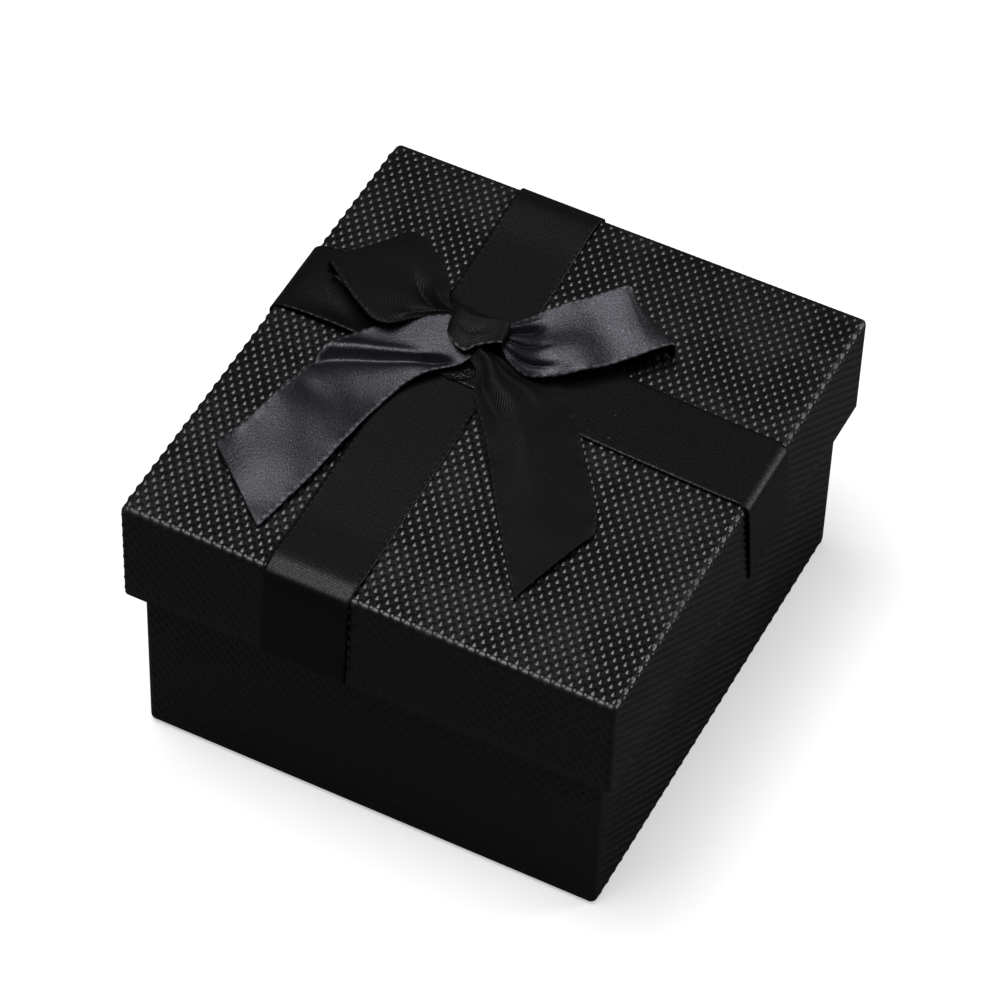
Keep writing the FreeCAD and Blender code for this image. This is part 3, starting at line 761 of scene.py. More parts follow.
@cache
def embossing_tree() -> bpy.types.NodeTree:
    """Staggered rows of raised dots on a sheet that is folded down over the four edges of a box."""
    w = Wiring.group(
        "Embossed dots",
        "GeometryNodeTree",
        {
            "Width": ("Float", 0.086),
            "Depth": ("Float", 0.093),
            "Top": ("Float", 0.053),
            "Flap": ("Float", 0.02),
            "Edge Radius": ("Float", 0.0011),
            "Pitch Across": ("Float", 0.00183),
            "Pitch Along": ("Float", 0.00247),
            "Dot Width": ("Float", 0.00125),
            "Dot Length": ("Float", 0.0017),
            "Dot Height": ("Float", 0.0002),
            "Corner Margin": ("Float", 0.0009),
            "Foot Margin": ("Float", 0.0009),
            "Rubbed Width": ("Float", 0.0013),
            "Top Panel": ("Bool", True),
            "Side Flaps": ("Bool", False),
            "End Flaps": ("Bool", False),
            "Seed": ("Int", 1),
            "Material": ("Material", None),
        },
        {"Geometry": "Geometry"},
    )
    radius = w.given("Edge Radius")
    halves = [w.times(w.given(side), 0.5) for side in ("Width", "Depth")]
    pitches = [w.given("Pitch Across"), w.given("Pitch Along")]
    folds = [w.minus(half, w.times(radius, 1 - math.pi / 4)) for half in halves]
    flap = w.plus(w.given("Flap"), w.times(radius, math.pi / 4 - 1))
    ends = [w.plus(fold, flap) for fold in folds]
    steps = [w.math("CEIL", w.math("DIVIDE", end, pitch)) for end, pitch in zip(ends, pitches)]
    counts = [w.plus(w.times(step, 2.0), 1.0) for step in steps]
    sizes = [w.times(w.times(step, 2.0), pitch) for step, pitch in zip(steps, pitches)]
    grid = w.node(
        "GeometryNodeMeshGrid",
        {"Size X": sizes[0], "Size Y": sizes[1], "Vertices X": counts[0], "Vertices Y": counts[1]},
    ).outputs["Mesh"]
    half_pitch = w.join(w.times(pitches[0], 0.5), w.times(pitches[1], 0.5), 0.0)
    moved = w.node("GeometryNodeTransform", {"Geometry": grid, "Translation": half_pitch}).outputs[0]
    both = w.node("GeometryNodeJoinGeometry")
    for rows in (grid, moved):
        w.tree.links.new(rows, both.inputs[0])

    x, y, _ = w.split(w.node("GeometryNodeInputPosition").outputs[0])
    away = [w.math("ABSOLUTE", x), w.math("ABSOLUTE", y)]
    on_top = [w.math("LESS_THAN", distance, fold) for distance, fold in zip(away, folds)]
    down = [w.logic("NOT", top) for top in on_top]
    limits = [w.minus(end, w.given("Foot Margin")) for end in ends]
    above_foot = [w.math("LESS_THAN", distance, limit) for distance, limit in zip(away, limits)]
    corners = [w.minus(half, w.given("Corner Margin")) for half in halves]
    in_corner = [w.math("LESS_THAN", distance, corner) for distance, corner in zip(away, corners)]
    panel = w.logic("AND", w.logic("AND", on_top[0], on_top[1]), w.given("Top Panel"))
    flaps = []
    for way, other, choice in ((0, 1, "Side Flaps"), (1, 0, "End Flaps")):
        on_flap = w.logic("AND", down[way], above_foot[way])
        flaps.append(w.logic("AND", on_flap, w.logic("AND", in_corner[other], w.given(choice))))
    wanted = w.logic("OR", panel, w.logic("OR", *flaps))
    kept = w.node(
        "GeometryNodeDeleteGeometry",
        {"Geometry": both.outputs[0], "Selection": w.logic("NOT", wanted)},
        domain="POINT",
    ).outputs[0]

    dot = w.use(
        dot_tree(),
        {"Width": w.given("Dot Width"), "Length": w.given("Dot Length"), "Height": w.given("Dot Height")},
    ).outputs[0]
    uneven = w.node(
        "FunctionNodeRandomValue",
        {0: (0.93, 0.93, 0.86), 1: (1.05, 1.05, 1.1), "Seed": w.given("Seed")},
        data_type="FLOAT_VECTOR",
    ).outputs[0]
    placed = w.node("GeometryNodeInstanceOnPoints", {"Points": kept, "Instance": dot, "Scale": uneven})
    real = w.node("GeometryNodeRealizeInstances", {"Geometry": placed.outputs[0]}).outputs[0]

    px, py, full_height = w.split(w.node("GeometryNodeInputPosition").outputs[0])
    from_fold = w.math("ABSOLUTE", w.minus(w.math("ABSOLUTE", py), folds[1]))
    height = w.times(full_height, w.ramp(from_fold, 0.0, w.given("Rubbed Width"), 0.25, 1.0))
    folded = [
        w.use(fold_tree(), {"Place": place, "Height": height, "Half": half, "Radius": radius})
        for place, half in ((px, halves[0]), (py, halves[1]))
    ]
    rises = w.plus(folded[0].outputs["Rise"], folded[1].outputs["Rise"])
    level = w.plus(w.given("Top"), w.minus(rises, height))
    place = w.join(folded[0].outputs["Place"], folded[1].outputs["Place"], level)
    wrapped = w.node("GeometryNodeSetPosition", {"Geometry": real, "Position": place}).outputs[0]
    smooth = w.node("GeometryNodeSetShadeSmooth", {"Geometry": wrapped}).outputs[0]
    painted = w.node("GeometryNodeSetMaterial", {"Geometry": smooth, "Material": w.given("Material")})
    w.give("Geometry", painted.outputs[0])
    return w.tree


class Faces(Enum):
    """Which faces of a box a set of dots is pressed into."""

    TOP = "Top Panel"
    SIDES = "Side Flaps"
    ENDS = "End Flaps"


@dataclass(frozen=True)
class Embossing:
    """The dots of one box part, as a sheet folded down over its edges; sizes in millimetres."""

    width: float
    depth: float
    top: float
    flap: float
    finish: Finish
    body: str
    edge_radius: float = 1.1
    pitch_across: float = 1.83
    pitch_along: float = 2.47
    dot_width: float = 1.3
    dot_length: float = 1.9
    dot_height: float = 0.23

    def press(self, name: str, seed: int, *faces: Faces) -> bpy.types.Object:
        """Makes the dots of some of the faces.

        Args:
            name: the piece's name.
            seed: the seed of the small unevenness.
            faces: the faces that get dots.

        Returns:
            The dots as one piece, riding on the part's body.
        """
        inputs: dict[str, object] = {
            "Width": self.width * MM,
            "Depth": self.depth * MM,
            "Top": self.top * MM,
            "Flap": self.flap * MM,
            "Edge Radius": self.edge_radius * MM,
            "Pitch Across": self.pitch_across * MM,
            "Pitch Along": self.pitch_along * MM,
            "Dot Width": self.dot_width * MM,
            "Dot Length": self.dot_length * MM,
            "Dot Height": self.dot_height * MM,
            "Seed": seed,
            "Material": self.finish.material(),
        }
        inputs.update({face.value: face in faces for face in Faces})
        piece = grown_piece(name, embossing_tree(), inputs)
        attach(piece, self.body)
        report(piece)
        return piece


# -------------------------------------------------------------------------------------- ribbons


def smooth_run(points: Edge, count: int) -> list[Vector]:
    """A smooth line through the points.

    Args:
        points: the points that the line goes through.
        count: how many points the line gets.

    Returns:
        That many points, evenly spaced along the line.
    """
    fixed = [Vector(point) for point in points]
    last = len(fixed) - 1
    knots = [0.0]
    for start, end in zip(fixed, fixed[1:]):
        knots.append(knots[-1] + max((end - start).length, 1e-6))
    slopes = []
    for index in range(last + 1):
        low, high = max(index - 1, 0), min(index + 1, last)
        slopes.append((fixed[high] - fixed[low]) / (knots[high] - knots[low]))
    fine: list[Vector] = []
    steps = 24
    for index in range(last):
        span = knots[index + 1] - knots[index]
        for step in range(steps):
            t = step / steps
            start = fixed[index] * (1 + 2 * t) * (1 - t) ** 2 + slopes[index] * span * t * (1 - t) ** 2
            end = fixed[index + 1] * t * t * (3 - 2 * t) + slopes[index + 1] * span * t * t * (t - 1)
            fine.append(start + end)
    fine.append(fixed[last])
    lengths = [0.0]
    for start, end in zip(fine, fine[1:]):
        lengths.append(lengths[-1] + (end - start).length)
    even: list[Vector] = []
    at = 0
    for step in range(count):
        goal = lengths[-1] * step / (count - 1)
        while at < len(lengths) - 2 and lengths[at + 1] < goal:
            at += 1
        gap = max(lengths[at + 1] - lengths[at], 1e-9)
        even.append(fine[at].lerp(fine[at + 1], min(1.0, (goal - lengths[at]) / gap)))
    return even


def fade(value: float, low: float, high: float) -> float:
    """A smooth step from 0 at low to 1 at high."""
    t = min(1.0, max(0.0, (value - low) / (high - low)))
    return t * t * (3 - 2 * t)


@dataclass(frozen=True)
class Pleat:
    """A ridge or valley that runs along a ribbon; its height and depth are in millimetres."""

    height: float
    spread: float
    first: float
    last: float
    start: float = 0.0
    end: float = 1.0
    ease: float = 0.15
    crisp: float = 2.0

    def rise(self, along: float, across: float) -> float:
        """How far the ribbon's face rises there.

        Args:
            along: the place along the ribbon, from 0 to 1.
            across: the place across it, from 0 to 1.

        Returns:
            The rise in millimetres.
        """
        if not self.start < along < self.end:
            return 0.0
        t = (along - self.start) / (self.end - self.start)
        place = self.first + (self.last - self.first) * t
        held = fade(t, -1e-6, self.ease) if self.start > 0.0 else 1.0
        held *= 1.0 - fade(t, 1.0 - self.ease, 1.0 + 1e-6) if self.end < 1.0 else 1.0
        off = abs(across - place) / self.spread
        return self.height * held * math.exp(-(off**self.crisp))


@dataclass
class Ribbon:
    """A length of ribbon between two edges; sizes in millimetres.

    The two edges start at the same end and run side by side. The ribbon's face is on the side that
    the length crossed with the width points to.
    """

    name: str
    node: str
    edge_a: Edge
    edge_b: Edge
    flat: tuple[float, float]
    held: str
    rests_on: list[str]
    pleats: list[Pleat] = field(default_factory=list)
    crown: float = 0.0
    wave: float = 0.12
    wave_length: float = 7.0
    edge_wave: float = 0.1
    hem_wave_length: float = 2.6
    tuck: float = 0.0
    tuck_gap: float = 0.5
    thick: float = 0.22
    selvage: float = 0.3
    rim: float = 0.55
    step_along: float = 0.45
    step_across: float = 0.42
    seed: float = 0.0
    face: Finish = SATIN_FACE
    back: Finish = SATIN_BACK

    def across_place(self, across: float) -> tuple[float, float]:
        """Where a thread lies once the second edge is turned under.

        Args:
            across: the thread's place across the flat ribbon, from 0 to 1.

        Returns:
            Its place between the edges, from 0 to 1, and how far under the face it lies.
        """
        open_width = 1.0 - self.tuck
        if across > open_width:
            gone = (across - 1.0 + self.tuck) / open_width
            return 1.0 - gone, self.tuck_gap * fade(gone, 0.0, 0.12)
        return across / open_width, 0.0

    def surface(self, rows: int, columns: int) -> list[list[Vector]]:
        """The ribbon's middle surface.

        Args:
            rows: how many rows of points run along it.
            columns: how many points each row has across.

        Returns:
            The rows of points, in millimetres.
        """
        left = smooth_run(self.edge_a, rows)
        right = smooth_run(self.edge_b, rows)
        surface: list[list[Vector]] = []
        for row in range(rows):
            along = row / (rows - 1)
            before, after = max(row - 1, 0), min(row + 1, rows - 1)
            forward = (left[after] + right[after] - left[before] - right[before]).normalized()
            width = right[row] - left[row]
            normal = forward.cross(width).normalized()
            points: list[Vector] = []
            for column in range(columns):
                across = column / (columns - 1)
                place, under = self.across_place(across)
                point = left[row] + width * place
                rise = self.crown * math.sin(math.pi * place) - under
                if not under:
                    rise += sum(pleat.rise(along, across) for pleat in self.pleats)
                rise += self.wave * noise.noise(Vector((*(point.xy / self.wave_length), self.seed)))
                hem = abs(2 * across - 1) ** 6
                flutter = noise.noise(Vector((*(point.xy / self.hem_wave_length), self.seed + 5)))
                rise += self.edge_wave * hem * flutter
                points.append(point + normal * rise)
            surface.append(points)
        return surface

    def mesh(self) -> bpy.types.Mesh:
        """The ribbon as a closed thin solid with a thicker woven edge and its own map."""
        length = run_length(self.edge_a, self.edge_b)
        rows = max(8, round(length / self.step_along)) + 1
        columns = max(8, round(self.flat[0] / MM / self.step_across)) + 1
        surface = self.surface(rows, columns)
        points: list[Vector] = []
        for side in (1.0, -1.0):
            for row in range(rows):
                for column in range(columns):
                    normal = surface_normal(surface, row, column)
                    rim = min(column, columns - 1 - column)
                    half = (self.thick if rim > 2 else self.selvage) / 2
                    half *= self.rim if rim == 0 else 1.0
                    points.append((surface[row][column] + normal * half * side) * MM)
        under = rows * columns
        faces: list[tuple[int, int, int, int]] = []
        for row in range(rows - 1):
            for column in range(columns - 1):
                a, b = row * columns + column, (row + 1) * columns + column
                faces.append((a, b, b + 1, a + 1))
                faces.append((under + a + 1, under + b + 1, under + b, under + a))
            first, second = row * columns, (row + 1) * columns
            faces.append((first, under + first, under + second, second))
            first, second = first + columns - 1, second + columns - 1
            faces.append((first, second, under + second, under + first))
        for column in range(columns - 1):
            faces.append((column, column + 1, under + column + 1, under + column))
            last = (rows - 1) * columns + column
            faces.append((last, under + last, under + last + 1, last + 1))
        mesh = bpy.data.meshes.new(self.name)
        mesh.from_pydata(points, [], faces)
        layer = mesh.uv_layers.new(name=STRIP_MAP)
        ribbon_widths = length * MM / self.flat[0]
        for loop in mesh.loops:
            row, column = divmod(loop.vertex_index % under, columns)
            layer.data[loop.index].uv = (row / (rows - 1) * ribbon_widths, column / (columns - 1))
        for finish in (self.face, self.back, WOVEN_EDGE):
            mesh.materials.append(finish.material())
        low_corners = [sum(corner >= under for corner in face) for face in faces]
        slots = {0: 0, 4: 1}
        mesh.polygons.foreach_set("material_index", [slots.get(count, 2) for count in low_corners])
        mesh.polygons.foreach_set("use_smooth", [count in slots for count in low_corners])
        mesh.update()
        return mesh

    def build(self) -> bpy.types.Object:
        piece = new_piece(self.name, self.mesh())
        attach(piece, "lid")
        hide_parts(self.node)
        report(piece)
        return piece


def run_length(first: Edge, second: Edge) -> float:
    """The mean length of two lines of points."""
    total = 0.0
    for points in (first, second):
        line = smooth_run(points, 200)
        total += sum((end - start).length for start, end in zip(line, line[1:]))
    return total / 2


def surface_normal(surface: list[list[Vector]], row: int, column: int) -> Vector:
    """The direction that a surface faces at one of its points."""
    rows, columns = len(surface) - 1, len(surface[0]) - 1
    along = surface[min(row + 1, rows)][column] - surface[max(row - 1, 0)][column]
    across = surface[row][min(column + 1, columns)] - surface[row][max(column - 1, 0)]
    return along.cross(across).normalized()


# ------------------------------------------------------------------------------------ the tray


@dataclass
class Tray:
    """The tray: a greyboard box covered in embossed paper; sizes in millimetres."""

    width: float = TRAY_WIDTH
    depth: float = TRAY_DEPTH
    rim: float = TRAY_RIM
    wall: float = 50.95

    def dress(self) -> None:
        """Gives the tray's own parts their finishes."""
        dress_nodes(
            base_board=GREYBOARD,
            base_corner_stays=STAY_TAPE,
            base_wrap=TRAY_PAPER,
            base_bottom_sheet=LINING,
            base_liner=LINING,
        )

    def build(self) -> None:
        """Dresses the tray and presses the dots into its walls."""
        self.dress()
        dots = Embossing(self.width, self.depth, self.rim, self.wall, TRAY_PAPER, "tray")
        dots.press("tray_side_dots", 11, Faces.SIDES)
        dots.press("tray_end_dots", 12, Faces.ENDS)


@cache
def seam_tree() -> bpy.types.NodeTree:
    """A covered cord along a closed line, with a row of stitches under it."""
    w = Wiring.group(
        "Corded seam",
        "GeometryNodeTree",
        {
            "Geometry": ("Geometry", None),
            "Cord Radius": ("Float", 0.0007),
            "Stitch Length": ("Float", 0.0022),
            "Stitch Gap": ("Float", 0.0011),
            "Stitch Radius": ("Float", 0.00022),
            "Drop": ("Float", 0.0012),
            "Flare": ("Float", 1.0),
            "Cord Material": ("Material", None),
            "Thread Material": ("Material", None),
        },
        {"Geometry": "Geometry"},
    )
    line = w.node("GeometryNodeMeshToCurve", {"Mesh": w.given("Geometry")}).outputs[0]
    ring = w.node("GeometryNodeCurvePrimitiveCircle", {"Resolution": 10, "Radius": w.given("Cord Radius")})
    cord = w.node("GeometryNodeCurveToMesh", {"Curve": line, "Profile Curve": ring.outputs[0]}).outputs[0]
    corded = w.node("GeometryNodeSetMaterial", {"Geometry": cord, "Material": w.given("Cord Material")})

    below = w.join(0.0, 0.0, w.times(w.given("Drop"), -1.0))
    wider = w.join(w.given("Flare"), w.given("Flare"), 1.0)
    lower = w.node("GeometryNodeTransform", {"Geometry": line, "Translation": below, "Scale": wider})
    step = w.plus(w.given("Stitch Length"), w.given("Stitch Gap"))
    marks = w.node("GeometryNodeCurveToPoints", {"Curve": lower.outputs[0], "Length": step}, mode="LENGTH")
    stitch = w.node(
        "GeometryNodeMeshCylinder",
        {"Vertices": 6, "Radius": w.given("Stitch Radius"), "Depth": w.given("Stitch Length")},
    ).outputs[0]
    turned = w.node("FunctionNodeAlignEulerToVector", {"Vector": marks.outputs["Tangent"]}, axis="Z")
    placed = w.node(
        "GeometryNodeInstanceOnPoints",
        {"Points": marks.outputs["Points"], "Instance": stitch, "Rotation": turned.outputs[0]},
    ).outputs[0]
    sewn = w.node("GeometryNodeSetMaterial", {"Geometry": placed, "Material": w.given("Thread Material")})
    both = w.node("GeometryNodeJoinGeometry")
    for part in (corded, sewn):
        w.tree.links.new(part.outputs[0], both.inputs[0])
    real = w.node("GeometryNodeRealizeInstances", {"Geometry": both.outputs[0]}).outputs[0]
    w.give("Geometry", w.node("GeometryNodeSetShadeSmooth", {"Geometry": real}).outputs[0])
    return w.tree


@dataclass
class Pillow:
    """The velvet pillow that the jewel lies on; sizes in millimetres."""

    width: float = 76.4
    depth: float = 83.4
    foot: float = 2.4
    top: float = 38.3
    corner: float = 12.0
    slack: float = 1.8
    grain: float = 3.2
    most_crown: float = 4.0
    pressure: float = 14.0
    steps: int = 20
    seam_height: float = 31.0

    def blank(self) -> bpy.types.Object:
        """The unfilled shape: a rounded block, a little smaller than the finished pillow."""
        shape = bmesh.new()
        bmesh.ops.create_cube(shape, size=1.0)
        whole = Vector((self.width, self.depth, self.top - self.foot)) * MM
        size = whole - Vector((1, 1, 1)) * self.slack * MM * 2
        bmesh.ops.scale(shape, vec=size, verts=shape.verts)
        bmesh.ops.bevel(
            shape,
            geom=shape.edges[:],
            offset=self.corner * MM * 0.75,
            segments=4,
            profile=0.5,
            affect="EDGES",
        )
        middle = Vector((0, 0, (self.top + self.foot) / 2 * MM))
        bmesh.ops.translate(shape, vec=middle, verts=shape.verts)
        mesh = bpy.data.meshes.new("pillow_blank")
        shape.to_mesh(mesh)
        shape.free()
        return new_piece("pillow_blank", mesh)

    def filled(self, blank: bpy.types.Object) -> bpy.types.Mesh:
        """The blank blown up by its filling, as a plain mesh."""
        scene = bpy.context.scene
        remesh = blank.modifiers.new("Voxels", "REMESH")
        remesh.mode = "VOXEL"
        remesh.voxel_size = self.grain * MM
        even = new_piece("pillow_even", finished_mesh(blank))
        cloth = even.modifiers.new("Cloth", "CLOTH")
        cloth.settings.quality = 5
        cloth.settings.use_pressure = True
        cloth.settings.uniform_pressure_force = self.pressure
        cloth.settings.effector_weights.gravity = 0.0
        for step in range(1, self.steps + 1):
            scene.frame_set(step)
        mesh = finished_mesh(even)
        even.modifiers.clear()
        bpy.data.objects.remove(even)
        bpy.data.objects.remove(blank)
        scene.frame_set(1)
        return mesh

    def over_filling(self, place: Vector) -> Vector:
        """Moves a place on the velvet out of the wadding.

        Args:
            place: a corner of the velvet, in metres.

        Returns:
            The same place, or the nearest one on the rounded block that just covers the wadding.
        """
        radius = self.corner * MM
        middle = Vector((0.0, 0.0, (self.top + self.foot) / 2 * MM))
        core = Vector((self.width, self.depth, self.top - self.foot)) / 2 * MM - Vector((radius,) * 3)
        inner = [min(half, max(-half, value)) for half, value in zip(core, place - middle)]
        nearest = middle + Vector(inner)
        out = place - nearest
        if out.length == 0 or out.length > radius:
            return place
        return nearest + out.normalized() * radius

    def press_into_tray(self, mesh: bpy.types.Mesh) -> None:
        """Keeps the pillow over its wadding, between the tray's walls and on its floor."""
        half_width, half_depth = self.width / 2 * MM, self.depth / 2 * MM
        foot, roof = self.foot * MM, (self.top + self.most_crown) * MM
        for vertex in mesh.vertices:
            x, y, z = self.over_filling(vertex.co)
            vertex.co = (
                min(half_width, max(-half_width, x)),
                min(half_depth, max(-half_depth, y)),
                min(roof, max(foot, z)),
            )

    def seam_line(self, mesh: bpy.types.Mesh) -> bpy.types.Mesh:
        """The closed line where the top panel is sewn on, lying on the pillow's own skin."""
        corners = [vertex.co for vertex in mesh.vertices]
        skin = BVHTree.FromPolygons(corners, [tuple(face.vertices) for face in mesh.polygons])
        places: list[Vector] = []
        count = 200
        for step in range(count):
            angle = 2 * math.pi * step / count
            out = Vector((math.cos(angle), math.sin(angle), 0.0))
            start = out * 0.1 + Vector((0.0, 0.0, self.seam_height * MM))
            hit = skin.ray_cast(start, -out)[0]
            if hit:
                places.append(hit)
        last = len(places)
        line = bpy.data.meshes.new("pillow_seam_line")
        line.from_pydata(places, [(step, (step + 1) % last) for step in range(last)], [])
        return line

    def seam(self, mesh: bpy.types.Mesh) -> None:
        """Sews a covered cord round the top panel."""
        inputs: dict[str, object] = {
            "Cord Radius": 0.9 * MM,
            "Stitch Length": 2.4 * MM,
            "Stitch Gap": 1.2 * MM,
            "Stitch Radius": 0.25 * MM,
            "Drop": 1.7 * MM,
            "Flare": 1.018,
            "Cord Material": VELVET.material(),
            "Thread Material": THREAD.material(),
        }
        piece = grown_piece("pillow_seam", seam_tree(), inputs, self.seam_line(mesh))
        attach(piece, "pillow")
        report(piece)

    def build(self) -> None:
        """Makes the pillow and its seam."""
        mesh = self.filled(self.blank())
        self.press_into_tray(mesh)
        mesh.polygons.foreach_set("use_smooth", [True] * len(mesh.polygons))
        self.seam(mesh)
        pillow = new_piece("velvet_pillow", mesh, VELVET)
        finer = pillow.modifiers.new("Finer", "SUBSURF")
        finer.levels = 1
        finer.render_levels = 1
        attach(pillow, "pillow")
        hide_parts("pillow_cover")
        dress_nodes(pillow_filling=WADDING)
        report(pillow)


# -------------------------------------------------------------------------------------- the lid


@dataclass
class Lid:
    """The lid: a shallow greyboard tray covered in embossed paper; sizes in millimetres."""

    width: float = LID_WIDTH
    depth: float = LID_DEPTH
    top: float = LID_TOP
    skirt: float = LID_SKIRT

    def dress(self) -> None:
        """Gives the lid's own parts their finishes."""
        dress_nodes(
            lid_board=GREYBOARD,
            lid_corner_stays=STAY_TAPE,
            lid_wrap=LID_PAPER,
            lid_liner=LINING,
            ribbon_end_tapes=TAPE,
            bow_glue=GLUE,
        )

    def build(self) -> None:
        """Dresses the lid and presses the dots into its top and skirts."""
        self.dress()
        dots = Embossing(self.width, self.depth, self.top, self.skirt, LID_PAPER, "lid")
        dots.press("lid_top_dots", 21, Faces.TOP)
        dots.press("lid_skirt_dots", 22, Faces.SIDES, Faces.ENDS)


class Way(Enum):
    """Which way a ribbon goes round the lid."""

    LENGTHWISE = "front to back"
    CROSSWISE = "left to right"


@dataclass
class Band:
    """A ribbon round the lid, tucked up inside its skirts; sizes in millimetres."""

    name: str
    node: str
    way: Way
    half: float
    starts: float
    ends: float
    foot_start: float
    foot_end: float
    lift: float = 0.3
    bridge: float = 0.0
    width: float = RIBBON_WIDTH
    top: float = LID_TOP
    skirt: float = LID_SKIRT
    board: float = 1.8
    flat_from: float = 4.5
    tuck: float = 8.0
    bulge: float = 0.35
    bend: float = 1.5
    swell: float = 0.5
    pleats: list[Pleat] = field(default_factory=list)

    def outline(self) -> list[tuple[float, float, float]]:
        """The band's path: how far out, how high, and where it lies sideways."""
        foot = self.top - self.skirt
        inner = self.half - self.board - 0.1
        path: list[tuple[float, float, float]] = []
        for sign, centre, low in ((-1.0, self.starts, self.foot_start), (1.0, self.ends, self.foot_end)):
            outer = self.half + 0.3
            side = [
                (inner, foot + self.tuck, low),
                (inner, foot + self.tuck * 0.5, low),
                (inner, foot + 0.8, low),
                (inner + 0.35, foot - 0.02, low),
                (inner + 1.0, foot - 0.12, low),
                (outer - 0.35, foot - 0.02, low),
                (outer, foot + 0.8, low),
                (outer + self.bulge * 0.6, foot + self.skirt * 0.35, low + (centre - low) * 0.4),
                (outer + self.bulge, foot + self.skirt * 0.7, low + (centre - low) * 0.8),
                (outer + self.bulge * 0.8, self.top - self.bend, centre),
                (outer + 0.1, self.top - 0.6, centre),
                (self.half - 0.1, self.top - 0.1, centre),
                (self.half - 1.0, self.top + self.lift * 0.8, centre),
                (self.half - 2.5, self.top + self.lift + self.swell * 0.9, centre),
                (self.half - self.flat_from, self.top + self.lift + self.swell, centre),
            ]
            placed = [(sign * out, high, centre_place) for out, high, centre_place in side]
            path += placed if sign < 0 else placed[::-1]
        middle = len(path) // 2
        between = []
        for share in (0.1, 0.3, 0.42, 0.5, 0.58, 0.7, 0.9):
            reach = self.half - self.flat_from
            out = -reach + 2 * reach * share
            hump = self.bridge * math.exp(-(((out - 1.0) / 11.0) ** 2))
            lean = self.starts + (self.ends - self.starts) * share
            between.append((out, self.top + self.lift + hump, lean))
        return path[:middle] + between + path[middle:]

    def edges(self) -> LoopEdge:
        """The band's two edges."""
        lines: list[Edge] = []
        for side in (0.5, -0.5):
            line: Edge = []
            for out, high, centre in self.outline():
                if self.way is Way.LENGTHWISE:
                    line.append((centre - side * self.width, out, high))
                else:
                    line.append((out, centre + side * self.width, high))
            lines.append(line)
        return lines[1], lines[0]

    def build(self) -> bpy.types.Object:
        """Makes the band."""
        edge_a, edge_b = self.edges()
        length = run_length(edge_a, edge_b)
        ribbon = Ribbon(
            name=self.name,
            node=self.node,
            edge_a=edge_a,
            edge_b=edge_b,
            flat=(self.width * MM, length * MM),
            held="stretched",
            rests_on=["lid_wrap"],
            pleats=self.pleats,
            wave=0.08,
            wave_length=14.0,
            edge_wave=0.05,
            thick=0.16,
            selvage=0.16,
            rim=1.0,
            step_along=0.5,
            step_across=0.5,
            face=SATIN_BAND,
        )
        return ribbon.build()


# -------------------------------------------------------------------------------------- the bow


